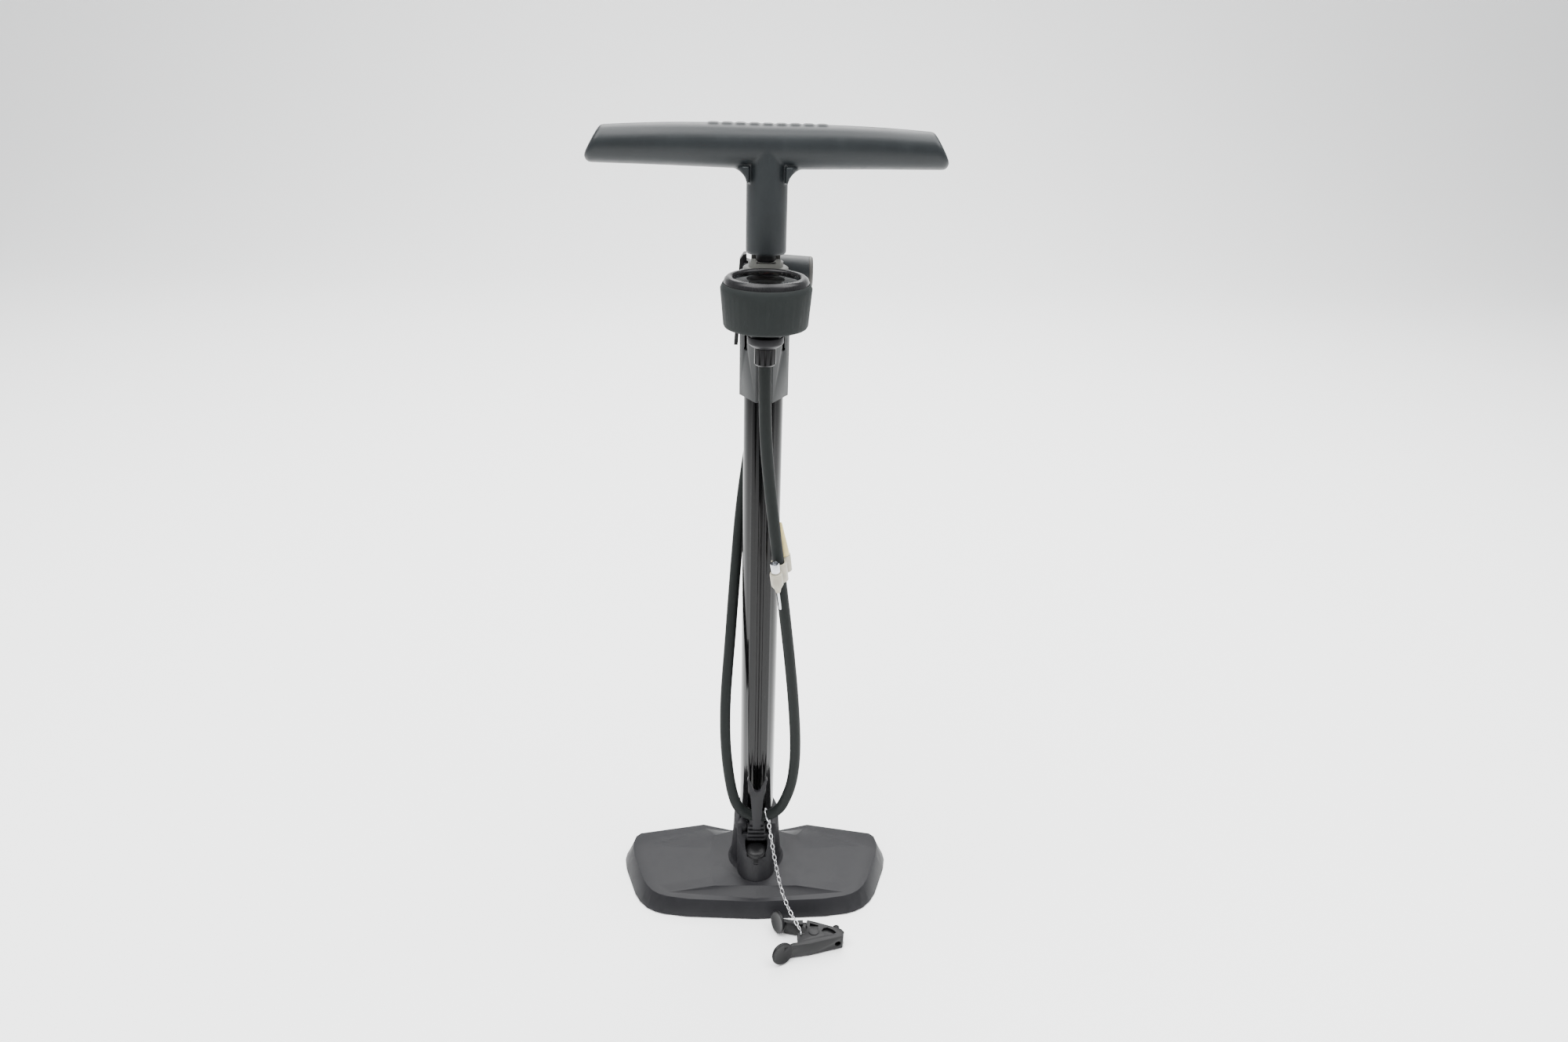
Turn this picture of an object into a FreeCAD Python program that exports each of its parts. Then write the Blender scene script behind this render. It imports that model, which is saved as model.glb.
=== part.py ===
"""A floor pump for bicycle tyres, as an assembly of separate pieces, in millimetres.

The origin is on the barrel's axis, at the floor.  +Z is up, -Y is the front, where the gauge is.
Every size that can be set by itself is a cell of the Sizes sheet; the pieces are bound to those cells.
"""

import FreeCAD, Part
import Sketcher
import math
import os
from FreeCAD import Placement, Rotation, Vector

SIZES = [
    # barrel
    ("barrel_length", 551.0, "cut length of the extruded barrel"),
    ("barrel_radius", 15.3, "outer radius of the barrel"),
    ("barrel_wall", 1.7, "wall of the barrel"),
    ("barrel_foot", 24.0, "height of the barrel's lower end"),
    ("rail_half", 9.0, "half width of the flat rail on the barrel's front"),
    ("rail_front", 18.5, "rail face to barrel axis"),
    ("channel_radius", 1.8, "air channel inside the rail"),
    # base
    ("base_side", 127.0, "half width of the base"),
    ("base_front", 62.5, "barrel axis to the front edge of the base"),
    ("base_back", 49.5, "barrel axis to the back edge of the base"),
    ("base_rim", 15.0, "height of the base plate's top edge"),
    ("base_wall", 3.4, "wall of the base plate"),
    ("base_crown", 5.5, "rise of the plate from its edge to the tower"),
    ("foot_height", 1.0, "how far the rubber feet stand below the rim"),
    ("neck_radius", 23.4, "radius of the neck where it meets the plate"),
    ("neck_top_radius", 20.4, "radius of the neck at its top"),
    ("neck_top", 84.0, "height of the neck's back edge"),
    ("tower_radius", 17.5, "radius of the valve tower"),
    ("tower_reach", 19.0, "barrel axis to the tower's axis"),
    ("tower_top", 49.0, "height of the face under the valve cap"),
    ("valve_reach", 28.6, "barrel axis to the check valve's axis"),
    ("chamber_radius", 6.0, "bore of the valve chamber"),
    ("chamber_floor", 28.0, "height of the check valve's seat"),
    ("valve_cap_radius", 9.8, "radius of the valve cap"),
    # hose hook
    ("hook_front", 33.5, "barrel axis to the hook's front face"),
    ("hook_thick", 3.4, "thickness of the hook's fork"),
    ("hook_tip", 138.5, "height of the fork's tips"),
    ("hook_ledge", 83.6, "height of the ledge that the hose lies on"),
    # collar and cap
    ("collar_length", 93.0, "length of the collar"),
    ("collar_side", 18.8, "half width of the collar"),
    ("collar_back", 18.3, "barrel axis to the collar's back"),
    ("collar_front", 25.5, "barrel axis to the collar's two front edges"),
    ("collar_lip", 3.0, "thickness of the collar over the barrel's end"),
    ("cap_radius", 16.8, "radius of the top cap's flange"),
    ("cap_flange", 4.5, "thickness of the top cap's flange"),
    ("cap_hub", 12.9, "radius of the top cap's castellated hub"),
    ("cap_rise", 6.5, "height of the hub over the flange"),
    ("cap_skirt", 22.0, "depth of the cap's skirt in the barrel"),
    # rod, piston and handle
    ("rod_radius", 5.0, "radius of the piston rod"),
    ("piston_length", 16.0, "length of the piston"),
    ("plug_length", 16.0, "length of the plug in the barrel's foot"),
    ("piston_rest", 2.0, "gap under the piston nut with the handle down"),
    ("nut_height", 5.0, "height of the piston nut"),
    ("bumper_height", 5.7, "height of the rubber bumper under the handle"),
    ("bumper_radius", 7.3, "radius of the rubber bumper"),
    ("stem_radius", 14.9, "radius of the handle's stem"),
    ("stem_length", 58.5, "stem bottom to the underside of the bar"),
    ("bar_side", 131.0, "half width of the handle bar"),
    ("bar_height", 30.5, "height of the bar in the middle"),
    ("bar_depth", 30.0, "depth of the bar in the middle"),
    ("bar_end_height", 23.5, "height of the bar at its ends"),
    ("bar_end_depth", 24.0, "depth of the bar at its ends"),
    ("rod_grip", 50.0, "length of the rod inside the stem"),
    # gauge
    ("gauge_reach", 48.0, "barrel axis to the gauge's axis"),
    ("gauge_drop", 29.0, "collar's top to the underside of the gauge"),
    ("case_radius", 26.0, "outer radius of the gauge case"),
    ("case_height", 31.0, "height of the gauge case"),
    ("case_wall", 1.6, "wall of the gauge case"),
    ("boot_low_radius", 30.3, "radius of the rubber boot at its bottom"),
    ("boot_radius", 32.4, "largest radius of the rubber boot"),
    ("bezel_radius", 30.0, "radius of the bezel"),
    ("window_radius", 23.6, "radius of the bezel's opening"),
    ("lens_thick", 2.2, "thickness of the lens"),
    ("dial_drop", 7.0, "lens to dial"),
    ("bracket_thick", 6.0, "thickness of the bracket under the gauge"),
    ("manifold_radius", 13.2, "radius of the manifold under the bracket"),
    ("pinion_pitch", 1.8, "pitch radius of the pinion on the pointer's arbor"),
    ("sector_pitch", 12.0, "pitch radius of the sector gear"),
    # hose and head
    ("hose_radius", 4.7, "radius of the hose"),
    ("nut_radius", 7.9, "radius of the fluted hose nut"),
    ("hose_nut_length", 13.5, "length of the hose nut"),
    ("head_reach", 33.0, "barrel axis to the pump head's axis"),
    ("head_level", 572.0, "height of the pump head's axis"),
    ("head_radius", 13.0, "largest radius of the pump head"),
    ("head_hose_side", 2.0, "side shift of the head's hose joint"),
    ("lever_width", 12.0, "width of the locking lever"),
    # clearances
    ("fit", 0.05, "radial clearance of a running or screwed fit"),
    ("slack", 0.3, "clearance between loose neighbours"),
]

doc = FreeCAD.newDocument("FloorPump")
sheet = doc.addObject("Spreadsheet::Sheet", "Sizes")
for row, (alias, number, note) in enumerate(SIZES, start=1):
    sheet.set(f"A{row}", alias)
    sheet.set(f"B{row}", str(number))
    sheet.setAlias(f"B{row}", alias)
    sheet.set(f"C{row}", note)
doc.recompute()


class Dim:
    """A length worked out from the sheet: its number, and the expression that binds it."""

    def __init__(self, number, text):
        self.number = float(number)
        self.text = text

    @staticmethod
    def of(value):
        return value if isinstance(value, Dim) else Dim(value, f"({float(value)!r})")

    def _with(self, other, sign, number):
        return Dim(number, f"({self.text} {sign} {other.text})")

    def __add__(self, other):
        other = Dim.of(other)
        return self._with(other, "+", self.number + other.number)

    def __sub__(self, other):
        other = Dim.of(other)
        return self._with(other, "-", self.number - other.number)

    def __mul__(self, other):
        other = Dim.of(other)
        return self._with(other, "*", self.number * other.number)

    def __truediv__(self, other):
        other = Dim.of(other)
        return self._with(other, "/", self.number / other.number)

    def __radd__(self, other):
        return Dim.of(other) + self

    def __rsub__(self, other):
        return Dim.of(other) - self

    def __rmul__(self, other):
        return Dim.of(other) * self

    def __neg__(self):
        return Dim(-self.number, f"(-{self.text})")


class Cells:
    """The sheet's cells, read by alias as Dims."""

    def __getattr__(self, alias):
        return Dim(sheet.get(alias), f"Sizes.{alias}")


S = Cells()
NODES = []

# ---------------------------------------------------------------- levels and places
barrel_top = S.barrel_foot + S.barrel_length
barrel_bore = S.barrel_radius - S.barrel_wall
channel_reach = (S.rail_front + barrel_bore) / 2
collar_top = barrel_top + S.collar_lip
collar_foot = collar_top - S.collar_length
flange_top = collar_top + S.cap_flange
hub_top = flange_top + S.cap_rise
hub_floor = hub_top - 3.0
stem_foot = hub_floor + S.slack + S.bumper_height
bar_low = stem_foot + S.stem_length
bar_top = bar_low + S.bar_height
rod_top = stem_foot + S.rod_grip
plug_top = S.barrel_foot + S.plug_length
piston_nut_low = plug_top + S.piston_rest
piston_low = piston_nut_low + S.nut_height
piston_top = piston_low + S.piston_length
gauge_floor = collar_top - S.gauge_drop
case_top = gauge_floor + S.case_height
lens_low = case_top + 0.3
dial_top = lens_low - S.dial_drop
bracket_low = gauge_floor - S.bracket_thick
manifold_low = bracket_low - 8.0
hose_nut_foot = manifold_low - S.hose_nut_length
joint_low = S.head_level - 26.0
LIFT = Vector(0, 0, 1)


# ---------------------------------------------------------------- how pieces are made
def bind(thing, prop, dim):
    thing.setExpression(prop, Dim.of(dim).text)


def place(thing, at, turn=None):
    """Put a piece at a point, turned first if a Rotation is given."""
    numbers = [Dim.of(v).number for v in at]
    thing.Placement = Placement(Vector(*numbers), turn or Rotation())
    for letter, dim in zip("xyz", at):
        if isinstance(dim, Dim):
            bind(thing, f"Placement.Base.{letter}", dim)
    return thing


def node(label, thing):
    thing.Label = label
    NODES.append(thing)
    return thing


def plane_of(body, role):
    return [f for f in body.Origin.OriginFeatures if f.Role == role][0]


def pin(sketch, item, spot, corner):
    """Hold one point of a sketch at a corner measured from the sketch's origin."""
    for kind, axis, dim in (("DistanceX", -2, corner[0]), ("DistanceY", -1, corner[1])):
        dim = Dim.of(dim)
        if abs(dim.number) < 1e-9:
            sketch.addConstraint(Sketcher.Constraint("PointOnObject", item, spot, axis))
            continue
        index = sketch.addConstraint(Sketcher.Constraint(kind, -1, 1, item, spot, dim.number))
        bind(sketch, f"Constraints[{index}]", dim)


def new_sketch(body, plane, lift):
    sketch = body.newObject("Sketcher::SketchObject", "Sketch")
    sketch.AttachmentSupport = (plane_of(body, plane), [""])
    sketch.MapMode = "FlatFace"
    bind(sketch, "AttachmentOffset.Base.z", lift)
    return sketch


def outline(body, corners, plane="XY_Plane", lift=0.0):
    """A closed sketch with straight sides through the corners."""
    sketch = new_sketch(body, plane, lift)
    points = [Vector(Dim.of(u).number, Dim.of(v).number, 0) for u, v in corners]
    count = len(points)
    for i in range(count):
        sketch.addGeometry(Part.LineSegment(points[i], points[(i + 1) % count]), False)
    ends = [Sketcher.Constraint("Coincident", i, 2, (i + 1) % count, 1) for i in range(count)]
    sketch.addConstraint(ends)
    for i, corner in enumerate(corners):
        pin(sketch, i, 1, corner)
    return sketch


def rings(body, circles, plane="XY_Plane", lift=0.0):
    """A sketch of circles, each (u, v, radius)."""
    sketch = new_sketch(body, plane, lift)
    for i, (u, v, radius) in enumerate(circles):
        radius = Dim.of(radius)
        middle = Vector(Dim.of(u).number, Dim.of(v).number, 0)
        sketch.addGeometry(Part.Circle(middle, Vector(0, 0, 1), radius.number), False)
        index = sketch.addConstraint(Sketcher.Constraint("Radius", i, radius.number))
        bind(sketch, f"Constraints[{index}]", radius)
        pin(sketch, i, 3, (u, v))
    return sketch


def body_of(name):
    return doc.addObject("PartDesign::Body", name)


def pad(body, sketch, length, reverse=False):
    feature = body.newObject("PartDesign::Pad", "Pad")
    feature.Profile = sketch
    feature.Reversed = reverse
    bind(feature, "Length", length)
    return feature


def pocket(body, sketch, length, reverse=False):
    """Cut a sketch's outline; unreversed it cuts against the sketch's normal."""
    feature = body.newObject("PartDesign::Pocket", "Pocket")
    feature.Profile = sketch
    feature.Reversed = reverse
    bind(feature, "Length", length)
    return feature


def turned(name, corners):
    """A body turned about its own Z from a half section of (radius, height) corners."""
    body = body_of(name)
    sketch = outline(body, corners, "XZ_Plane")
    turn = body.newObject("PartDesign::Revolution", "Turn")
    turn.Profile = sketch
    turn.ReferenceAxis = (sketch, ["V_Axis"])
    turn.Angle = 360.0
    return body


def slab(name, corners, low, high, plane="XY_Plane"):
    """A body with a constant outline between two levels along the plane's normal."""
    body = body_of(name)
    pad(body, outline(body, corners, plane, low), Dim.of(high) - low)
    return body


def rod(radius, low, high, x=0.0, y=0.0):
    """A plain upright cylinder between two heights."""
    thing = doc.addObject("Part::Cylinder", "Rod")
    bind(thing, "Radius", radius)
    bind(thing, "Height", Dim.of(high) - low)
    return place(thing, (Dim.of(x), Dim.of(y), Dim.of(low)))


def cross_rod(radius, start, length, turn):
    """A plain cylinder that starts at a point and runs along a turned Z."""
    thing = doc.addObject("Part::Cylinder", "CrossRod")
    bind(thing, "Radius", radius)
    bind(thing, "Height", length)
    return place(thing, start, turn)


def block(x, y, z):
    """A box from three (low, high) pairs."""
    thing = doc.addObject("Part::Box", "Block")
    for prop, (low, high) in zip(("Length", "Width", "Height"), (x, y, z)):
        bind(thing, prop, Dim.of(high) - low)
    return place(thing, (Dim.of(x[0]), Dim.of(y[0]), Dim.of(z[0])))


def plus(*things):
    joined = doc.addObject("Part::MultiFuse", "Joined")
    joined.Shapes = list(things)
    return joined


def minus(thing, *tools):
    """A piece with tools cut from it, one after another."""
    for tool in tools:
        result = doc.addObject("Part::Cut", "Cut")
        result.Base = thing
        result.Tool = tool
        thing = result
    return thing


def both_sides(corners):
    """Mirror the right half of an outline to the left; it runs from front to back."""
    left = [(-Dim.of(u), v) for u, v in reversed(corners) if Dim.of(u).number > 1e-9]
    return list(corners) + left


ALONG_X = Rotation(Vector(0, 1, 0), 90)
ALONG_Y = Rotation(Vector(1, 0, 0), -90)


def ring_section(inner, outer, low, high, bevel):
    """The half section of a rubber ring with bevelled corners."""
    inner, outer, low, high = Dim.of(inner), Dim.of(outer), Dim.of(low), Dim.of(high)
    return [
        (inner + bevel, low), (outer - bevel, low), (outer, low + bevel), (outer, high - bevel),
        (outer - bevel, high), (inner + bevel, high), (inner, high - bevel), (inner, low + bevel),
    ]


# ---------------------------------------------------------------- base
def base_outline(inset=0.0, raised=False):
    """Right half of the plate's outline: at the floor, or at its top edge, moved in by inset."""
    side, front, back = S.base_side, S.base_front, S.base_back
    # x, y at the floor, then the shift to the top edge, then the direction of an inset
    half = [
        (Dim.of(0.0), -front, 0.0, 7.0, 0.0, 1.0),
        (side - 63.0, 3.2 - front, -2.0, 7.4, -0.1, 1.0),
        (side - 43.0, 6.4 - front, -2.4, 7.8, -0.2, 1.0),
        (side - 34.5, 9.2 - front, -3.4, 7.8, -0.5, 0.9),
        (side - 26.5, 14.0 - front, -5.0, 7.2, -0.7, 0.8),
        (side - 19.5, 21.5 - front, -6.6, 6.0, -0.9, 0.6),
        (side - 14.0, 31.0 - front, -7.6, 4.8, -0.9, 0.4),
        (side - 2.4, Dim.of(1.0), -8.2, 2.2, -1.0, 0.2),
        (side, Dim.of(14.0), -8.0, 1.2, -1.0, 0.0),
        (side - 0.6, Dim.of(22.0), -7.0, 0.0, -1.0, -0.2),
        (side - 4.0, back - 17.5, -5.2, -1.2, -0.9, -0.6),
        (side - 10.0, back - 12.6, -3.4, -1.6, -0.6, -0.9),
        (Dim.of(52.5), back, -0.5, -1.5, 0.0, -1.0),
        (Dim.of(24.5), back - 8.0, 0.0, -1.5, 0.0, -1.0),
    ]
    corners = []
    for x, y, up_x, up_y, in_x, in_y in half:
        if raised:
            x, y = x + up_x, y + up_y
        corners.append((x + in_x * Dim.of(inset), y + in_y * Dim.of(inset)))
    corners[0] = (0.0, corners[0][1])
    return both_sides(corners)


FOOT_PLACES = [(86.0, -32.0), (-86.0, -32.0), (106.0, 22.0), (-106.0, 22.0)]


def crown():
    """The plate's top rises in flat facets from its edge to a rim round the tower."""
    rim = [(38.0, -41.0), (43.0, -30.0), (45.0, -8.0), (45.0, 8.0), (40.0, 26.0), (22.0, 33.0)]
    body = body_of("crown")
    side, front, back = S.base_side, S.base_front, S.base_back
    foot = [
        (0.0, -front + 9.0), (side - 38.0, -front + 18.5), (side - 25.5, -front + 29.0),
        (side - 11.0, Dim.of(6.0)), (side - 10.0, Dim.of(19.0)), (Dim.of(52.0), back - 3.5),
        (Dim.of(24.5), back - 11.0),
    ]
    low = outline(body, both_sides(foot), lift=S.base_rim - 1.0)
    high = outline(body, both_sides([(0.0, -41.0)] + rim), lift=S.base_rim + S.base_crown)
    rise = body.newObject("PartDesign::AdditiveLoft", "Rise")
    rise.Profile = low
    rise.Sections = [high]
    rise.Ruled = True
    return body


def base_shell():
    body = body_of("base_plate")
    cavity_top = S.base_rim - S.base_wall
    low = outline(body, base_outline(), lift=S.foot_height)
    high = outline(body, base_outline(raised=True), lift=S.base_rim)
    plate = body.newObject("PartDesign::AdditiveLoft", "Plate")
    plate.Profile = low
    plate.Sections = [high]
    plate.Ruled = True
    low = outline(body, base_outline(S.base_wall), lift=S.foot_height)
    high = outline(body, base_outline(S.base_wall, raised=True), lift=cavity_top)
    cavity = body.newObject("PartDesign::SubtractiveLoft", "Cavity")
    cavity.Profile = low
    cavity.Sections = [high]
    cavity.Ruled = True
    return body


def base():
    inside = S.base_rim - S.base_wall / 2
    low = S.foot_height
    plate_top = S.base_rim + S.base_crown
    parts = [base_shell(), crown()]
    for x, y in FOOT_PLACES:
        parts.append(rod(7.5, low, inside, x, y))
    for x in (-62.0, 62.0):
        parts.append(block((x - 1.2, x + 1.2), (-46.0, 40.0), (low, inside)))
    parts.append(block((-112.0, 112.0), (-1.2, 1.2), (low, inside)))
    parts.append(rod(S.neck_radius, low, inside))
    neck = turned("neck", [
        (0.0, S.base_rim - 2.0), (S.neck_radius + 3.0, S.base_rim - 2.0), (S.neck_radius + 3.0, plate_top),
        (S.neck_radius + 0.6, plate_top + 3.0), (S.neck_radius, plate_top + 8.0), (S.neck_top_radius + 0.6, 66.0),
        (S.neck_top_radius, S.neck_top), (0.0, S.neck_top),
    ])
    # the neck's rim slopes down to the front
    slope = doc.addObject("Part::Box", "Slope")
    slope.Length, slope.Width, slope.Height = 120.0, 120.0, 60.0
    tilt = math.radians(35.0)
    place(slope, (-60.0, S.neck_top_radius - 60.0 * math.cos(tilt), S.neck_top - 60.0 * math.sin(tilt)),
          Rotation(Vector(1, 0, 0), 35.0))
    parts.append(minus(neck, slope))
    tower = rod(S.tower_radius, 14.0, S.tower_top + 24.0, 0.0, -S.tower_reach)
    face = doc.addObject("Part::Box", "TowerFace")
    face.Length, face.Width, face.Height = 60.0, 60.0, 60.0
    place(face, (-30.0, -S.tower_reach - S.tower_radius - 1.0, S.tower_top + 1.0),
          Rotation(Vector(1, 0, 0), 48.0))
    parts.append(minus(tower, face))
    reach = S.valve_reach
    recess = S.valve_cap_radius + 0.5
    hook_back = S.rail_front + 0.3
    cuts = [
        rod(S.barrel_radius + S.fit, S.barrel_foot, S.neck_top + 40.0),
        block((-S.rail_half - S.fit, S.rail_half + S.fit), (-S.rail_front - S.fit, 0.0),
              (S.barrel_foot, S.neck_top + 40.0)),
        rod(recess, S.tower_top, S.neck_top + 10.0, 0.0, -reach),
        block((-recess, recess), (-reach, -S.rail_front + 1.0), (S.tower_top, S.neck_top + 10.0)),
        rod(8.0 + S.fit, S.tower_top - 7.5, S.tower_top, 0.0, -reach),
        block((-13.5 - S.fit, 13.5 + S.fit), (-hook_back - 4.6 - S.fit, -hook_back + S.fit),
              (S.tower_top + 10.0 - S.fit, S.neck_top + 10.0)),
        rod(S.chamber_radius, S.chamber_floor, S.tower_top, 0.0, -reach),
        rod(1.6, S.barrel_foot - 3.5, S.chamber_floor, 0.0, -reach),
        cross_rod(1.6, (0.0, -reach, S.barrel_foot - 3.5), reach - 8.0, ALONG_Y),
        rod(1.6, S.barrel_foot - 3.5, S.barrel_foot, 0.0, -8.0),
        cross_rod(1.6, (0.0, -reach, S.tower_top - 12.0), reach - S.rail_front + 1.0, ALONG_Y),
        rod(2.8, 10.0, S.barrel_foot),
        rod(6.0, low - 1.0, 17.0),
    ]
    for x, y in FOOT_PLACES:
        cuts.append(rod(2.0 + S.fit, low - 1.0, 7.0, x, y))
    return node("base", minus(plus(*parts), *cuts))


def feet():
    pads = []
    for x, y in FOOT_PLACES:
        pads.append(rod(6.5, 0.0, S.foot_height, x, y))
        pads.append(rod(2.0, S.foot_height / 2, 6.5, x, y))
    node("base_feet", plus(*pads))
    node("centre_foot", turned("centre_foot_body", [
        (0.0, 0.0), (14.0, 0.0), (14.0, S.foot_height), (6.0 - S.fit, S.foot_height),
        (6.0 - S.fit, 9.0), (0.0, 9.0),
    ]))


def barrel_fixings():
    foot = S.barrel_foot
    skirt = barrel_bore - S.fit
    groove = skirt - 1.9
    plug = turned("plug_blank", [
        (0.0, foot), (skirt, foot), (skirt, foot + 6.0), (groove, foot + 6.0),
        (groove, foot + 9.0), (skirt, foot + 9.0), (skirt, plug_top), (0.0, plug_top),
    ])
    node("barrel_plug", minus(
        plug,
        rod(2.5 + S.fit, foot - 1.0, foot + 12.0),
        rod(1.5, foot - 1.0, plug_top + 1.0, 0.0, -8.0),
    ))
    node("plug_seal", turned("plug_seal_body", ring_section(groove + S.fit, skirt, foot + 6.1, foot + 8.9, 0.7)))
    bolt = turned("bolt_blank", [
        (0.0, 11.5), (4.8, 11.5), (4.8, 17.0), (2.5, 17.0), (2.5, foot + 11.0), (0.0, foot + 11.0),
    ])
    socket = slab("bolt_socket", hexagon(2.3), 11.0, 14.0)
    node("barrel_bolt", minus(bolt, socket))


def hexagon(apothem):
    radius = Dim.of(apothem) / math.cos(math.radians(30))
    corners = []
    for k in range(6):
        angle = math.radians(60 * k)
        corners.append((radius * math.cos(angle), radius * math.sin(angle)))
    return corners


def check_valve():
    reach, floor = S.valve_reach, S.chamber_floor
    place(node("check_valve_disc", turned("valve_disc", [
        (0.0, 0.1), (4.6, 0.1), (5.4, 0.9), (5.4, 2.4), (2.0, 2.4), (2.0, 4.0), (0.0, 4.0),
    ])), (0.0, -reach, floor))
    seat, roof = (floor + 2.4).number, (S.tower_top - 3.5).number
    wire_path = Part.makeHelix(2.2, roof - seat - 0.8, 3.0)
    section = Part.Wire(Part.Circle(Vector(3.0, 0, 0), Vector(0, 1, 0), 0.35).toShape())
    spring = doc.addObject("Part::Feature", "Spring")
    spring.Shape = Part.Wire(wire_path).makePipeShell([section], True, True)
    node("check_valve_spring", place(spring, (0.0, -reach, floor + 2.8)))
    top, radius = S.tower_top, S.valve_cap_radius
    cap = turned("valve_cap_body", [
        (0.0, top - 3.5), (3.9, top - 3.5), (3.9, top - 5.0), (8.0, top - 5.0), (8.0, top + 0.2),
        (radius, top + 0.2),
        (radius, top + 4.2), (radius - 1.6, top + 5.6), (radius - 4.5, top + 6.6), (0.0, top + 7.1),
    ])
    node("valve_cap", place(cap, (0.0, -reach, 0.0)))
    seal = turned("valve_cap_seal_body", ring_section(6.1, 7.9, top - 7.4, top - 5.1, 0.5))
    node("valve_cap_seal", place(seal, (0.0, -reach, 0.0)))


def hose_hook():
    front, ledge, tip = S.hook_front, S.hook_ledge, S.hook_tip
    back = S.rail_front + 0.3
    fork = body_of("fork")
    half = [
        (0.0, tip - 16.0), (3.0, tip - 14.6), (5.0, tip - 9.0), (8.2, tip), (8.8, tip - 3.0),
        (7.6, tip - 9.5), (5.4, tip - 26.0), (3.4, ledge - 3.5),
    ]
    # the outline starts at the bottom of the fork's notch and runs down the right side
    pad(fork, outline(fork, both_sides(half), "XZ_Plane", front - S.hook_thick), S.hook_thick)
    shelf = block((-3.4, 3.4), (-front + 0.8, -back), (ledge - 3.5, ledge))
    root = block((-6.5, 6.5), (-back - 4.6, -back), (S.tower_top + 9.0, ledge))
    tongue = block((-13.5, 13.5), (-back - 4.6, -back), (S.tower_top + 10.0, S.tower_top + 16.0))
    ribs = []
    for k in range(4):
        z = S.tower_top + 11.0 + 4.6 * k
        ribs.append(block((-8.2, 8.2), (-back - 6.2, -back), (z, z + 2.2)))
    node("hose_hook", plus(fork, shelf, root, tongue, *ribs))


# ---------------------------------------------------------------- barrel
def barrel():
    body = body_of("barrel")
    pad(body, rings(body, [(0.0, 0.0, S.barrel_radius)], lift=S.barrel_foot), S.barrel_length)
    half, face = S.rail_half, -S.rail_front
    rail = [
        (0.0, face + 0.7), (2.2, face + 0.7), (2.6, face), (4.8, face), (4.8, face + 0.9),
        (5.6, face + 0.9), (5.6, face), (half - 0.7, face), (half, face + 0.7), (half, -barrel_bore + 3.0),
    ]
    pad(body, outline(body, both_sides(rail), lift=S.barrel_foot), S.barrel_length)
    holes = rings(body, [(0.0, 0.0, barrel_bore)], lift=S.barrel_foot)
    pocket(body, holes, S.barrel_length, reverse=True)
    channel = rings(body, [(0.0, -channel_reach, S.channel_radius)], lift=S.barrel_foot)
    pocket(body, channel, S.barrel_length, reverse=True)
    step = [
        (-half - 1.0, face - 2.0), (half + 1.0, face - 2.0),
        (half + 1.0, -S.barrel_radius), (-half - 1.0, -S.barrel_radius),
    ]
    pocket(body, outline(body, step, lift=gauge_floor - 1.0), barrel_top - gauge_floor + 1.0, reverse=True)
    port = rings(body, [(0.0, S.tower_top - 12.0, 1.5)], "XZ_Plane", channel_reach)
    pocket(body, port, 6.0, reverse=True)
    node("barrel", body)


# ---------------------------------------------------------------- collar and cap
def collar():
    side, back, front = S.collar_side, S.collar_back, S.collar_front
    plan = both_sides([
        (0.0, -front + 5.0), (3.6, -front + 5.0), (4.6, -front), (6.4, -front), (side, Dim.of(-5.0)),
        (side, Dim.of(9.0)), (12.0, back),
    ])
    sleeve = slab("sleeve", plan, collar_foot, collar_top)
    bracket = slab("bracket", [
        (-15.0, -14.0), (-15.0, -S.gauge_reach + 4.0), (-10.0, -S.gauge_reach - 8.0),
        (10.0, -S.gauge_reach - 8.0), (15.0, -S.gauge_reach + 4.0), (15.0, -14.0),
    ], bracket_low, gauge_floor)
    web = slab("web", [
        (-front + 4.0, bracket_low - 12.0), (-S.gauge_reach + S.manifold_radius + 0.8, bracket_low + 1.0),
        (-front + 4.0, bracket_low + 1.0),
    ], -3.0, 3.0, "YZ_Plane")
    room = rod(S.boot_radius + S.slack, gauge_floor, collar_top + 1.0, 0.0, -S.gauge_reach)
    rail_width = (-S.rail_half - S.fit, S.rail_half + S.fit)
    cuts = [
        room,
        rod(S.barrel_radius + S.fit, collar_foot - 1.0, barrel_top),
        block(rail_width, (-S.rail_front - S.fit, 0.0), (collar_foot - 1.0, gauge_floor - 0.9)),
        block(rail_width, (-S.barrel_radius - S.fit, 0.0), (collar_foot - 1.0, barrel_top)),
        rod(barrel_bore, barrel_top - 1.0, collar_top + 1.0),
        rod(8.0 + S.fit, bracket_low - 1.0, gauge_floor + 1.0, 0.0, -S.gauge_reach),
    ]
    for x in (-14.2, 14.2):
        cuts.append(block((x - 0.9, x + 0.9), (-20.0, -4.0), (bracket_low - 20.0, bracket_low - 8.0)))
        cuts.append(cross_rod(1.3, (x, -20.0, bracket_low - 20.0), 16.0, ALONG_Y))
    cuts.append(block((-9.0, 9.0), (back - 1.6, back + 1.0), (joint_low - 6.0 - S.fit, joint_low + 10.0)))
    node("collar", minus(plus(sleeve, bracket, web), *cuts))


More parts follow.
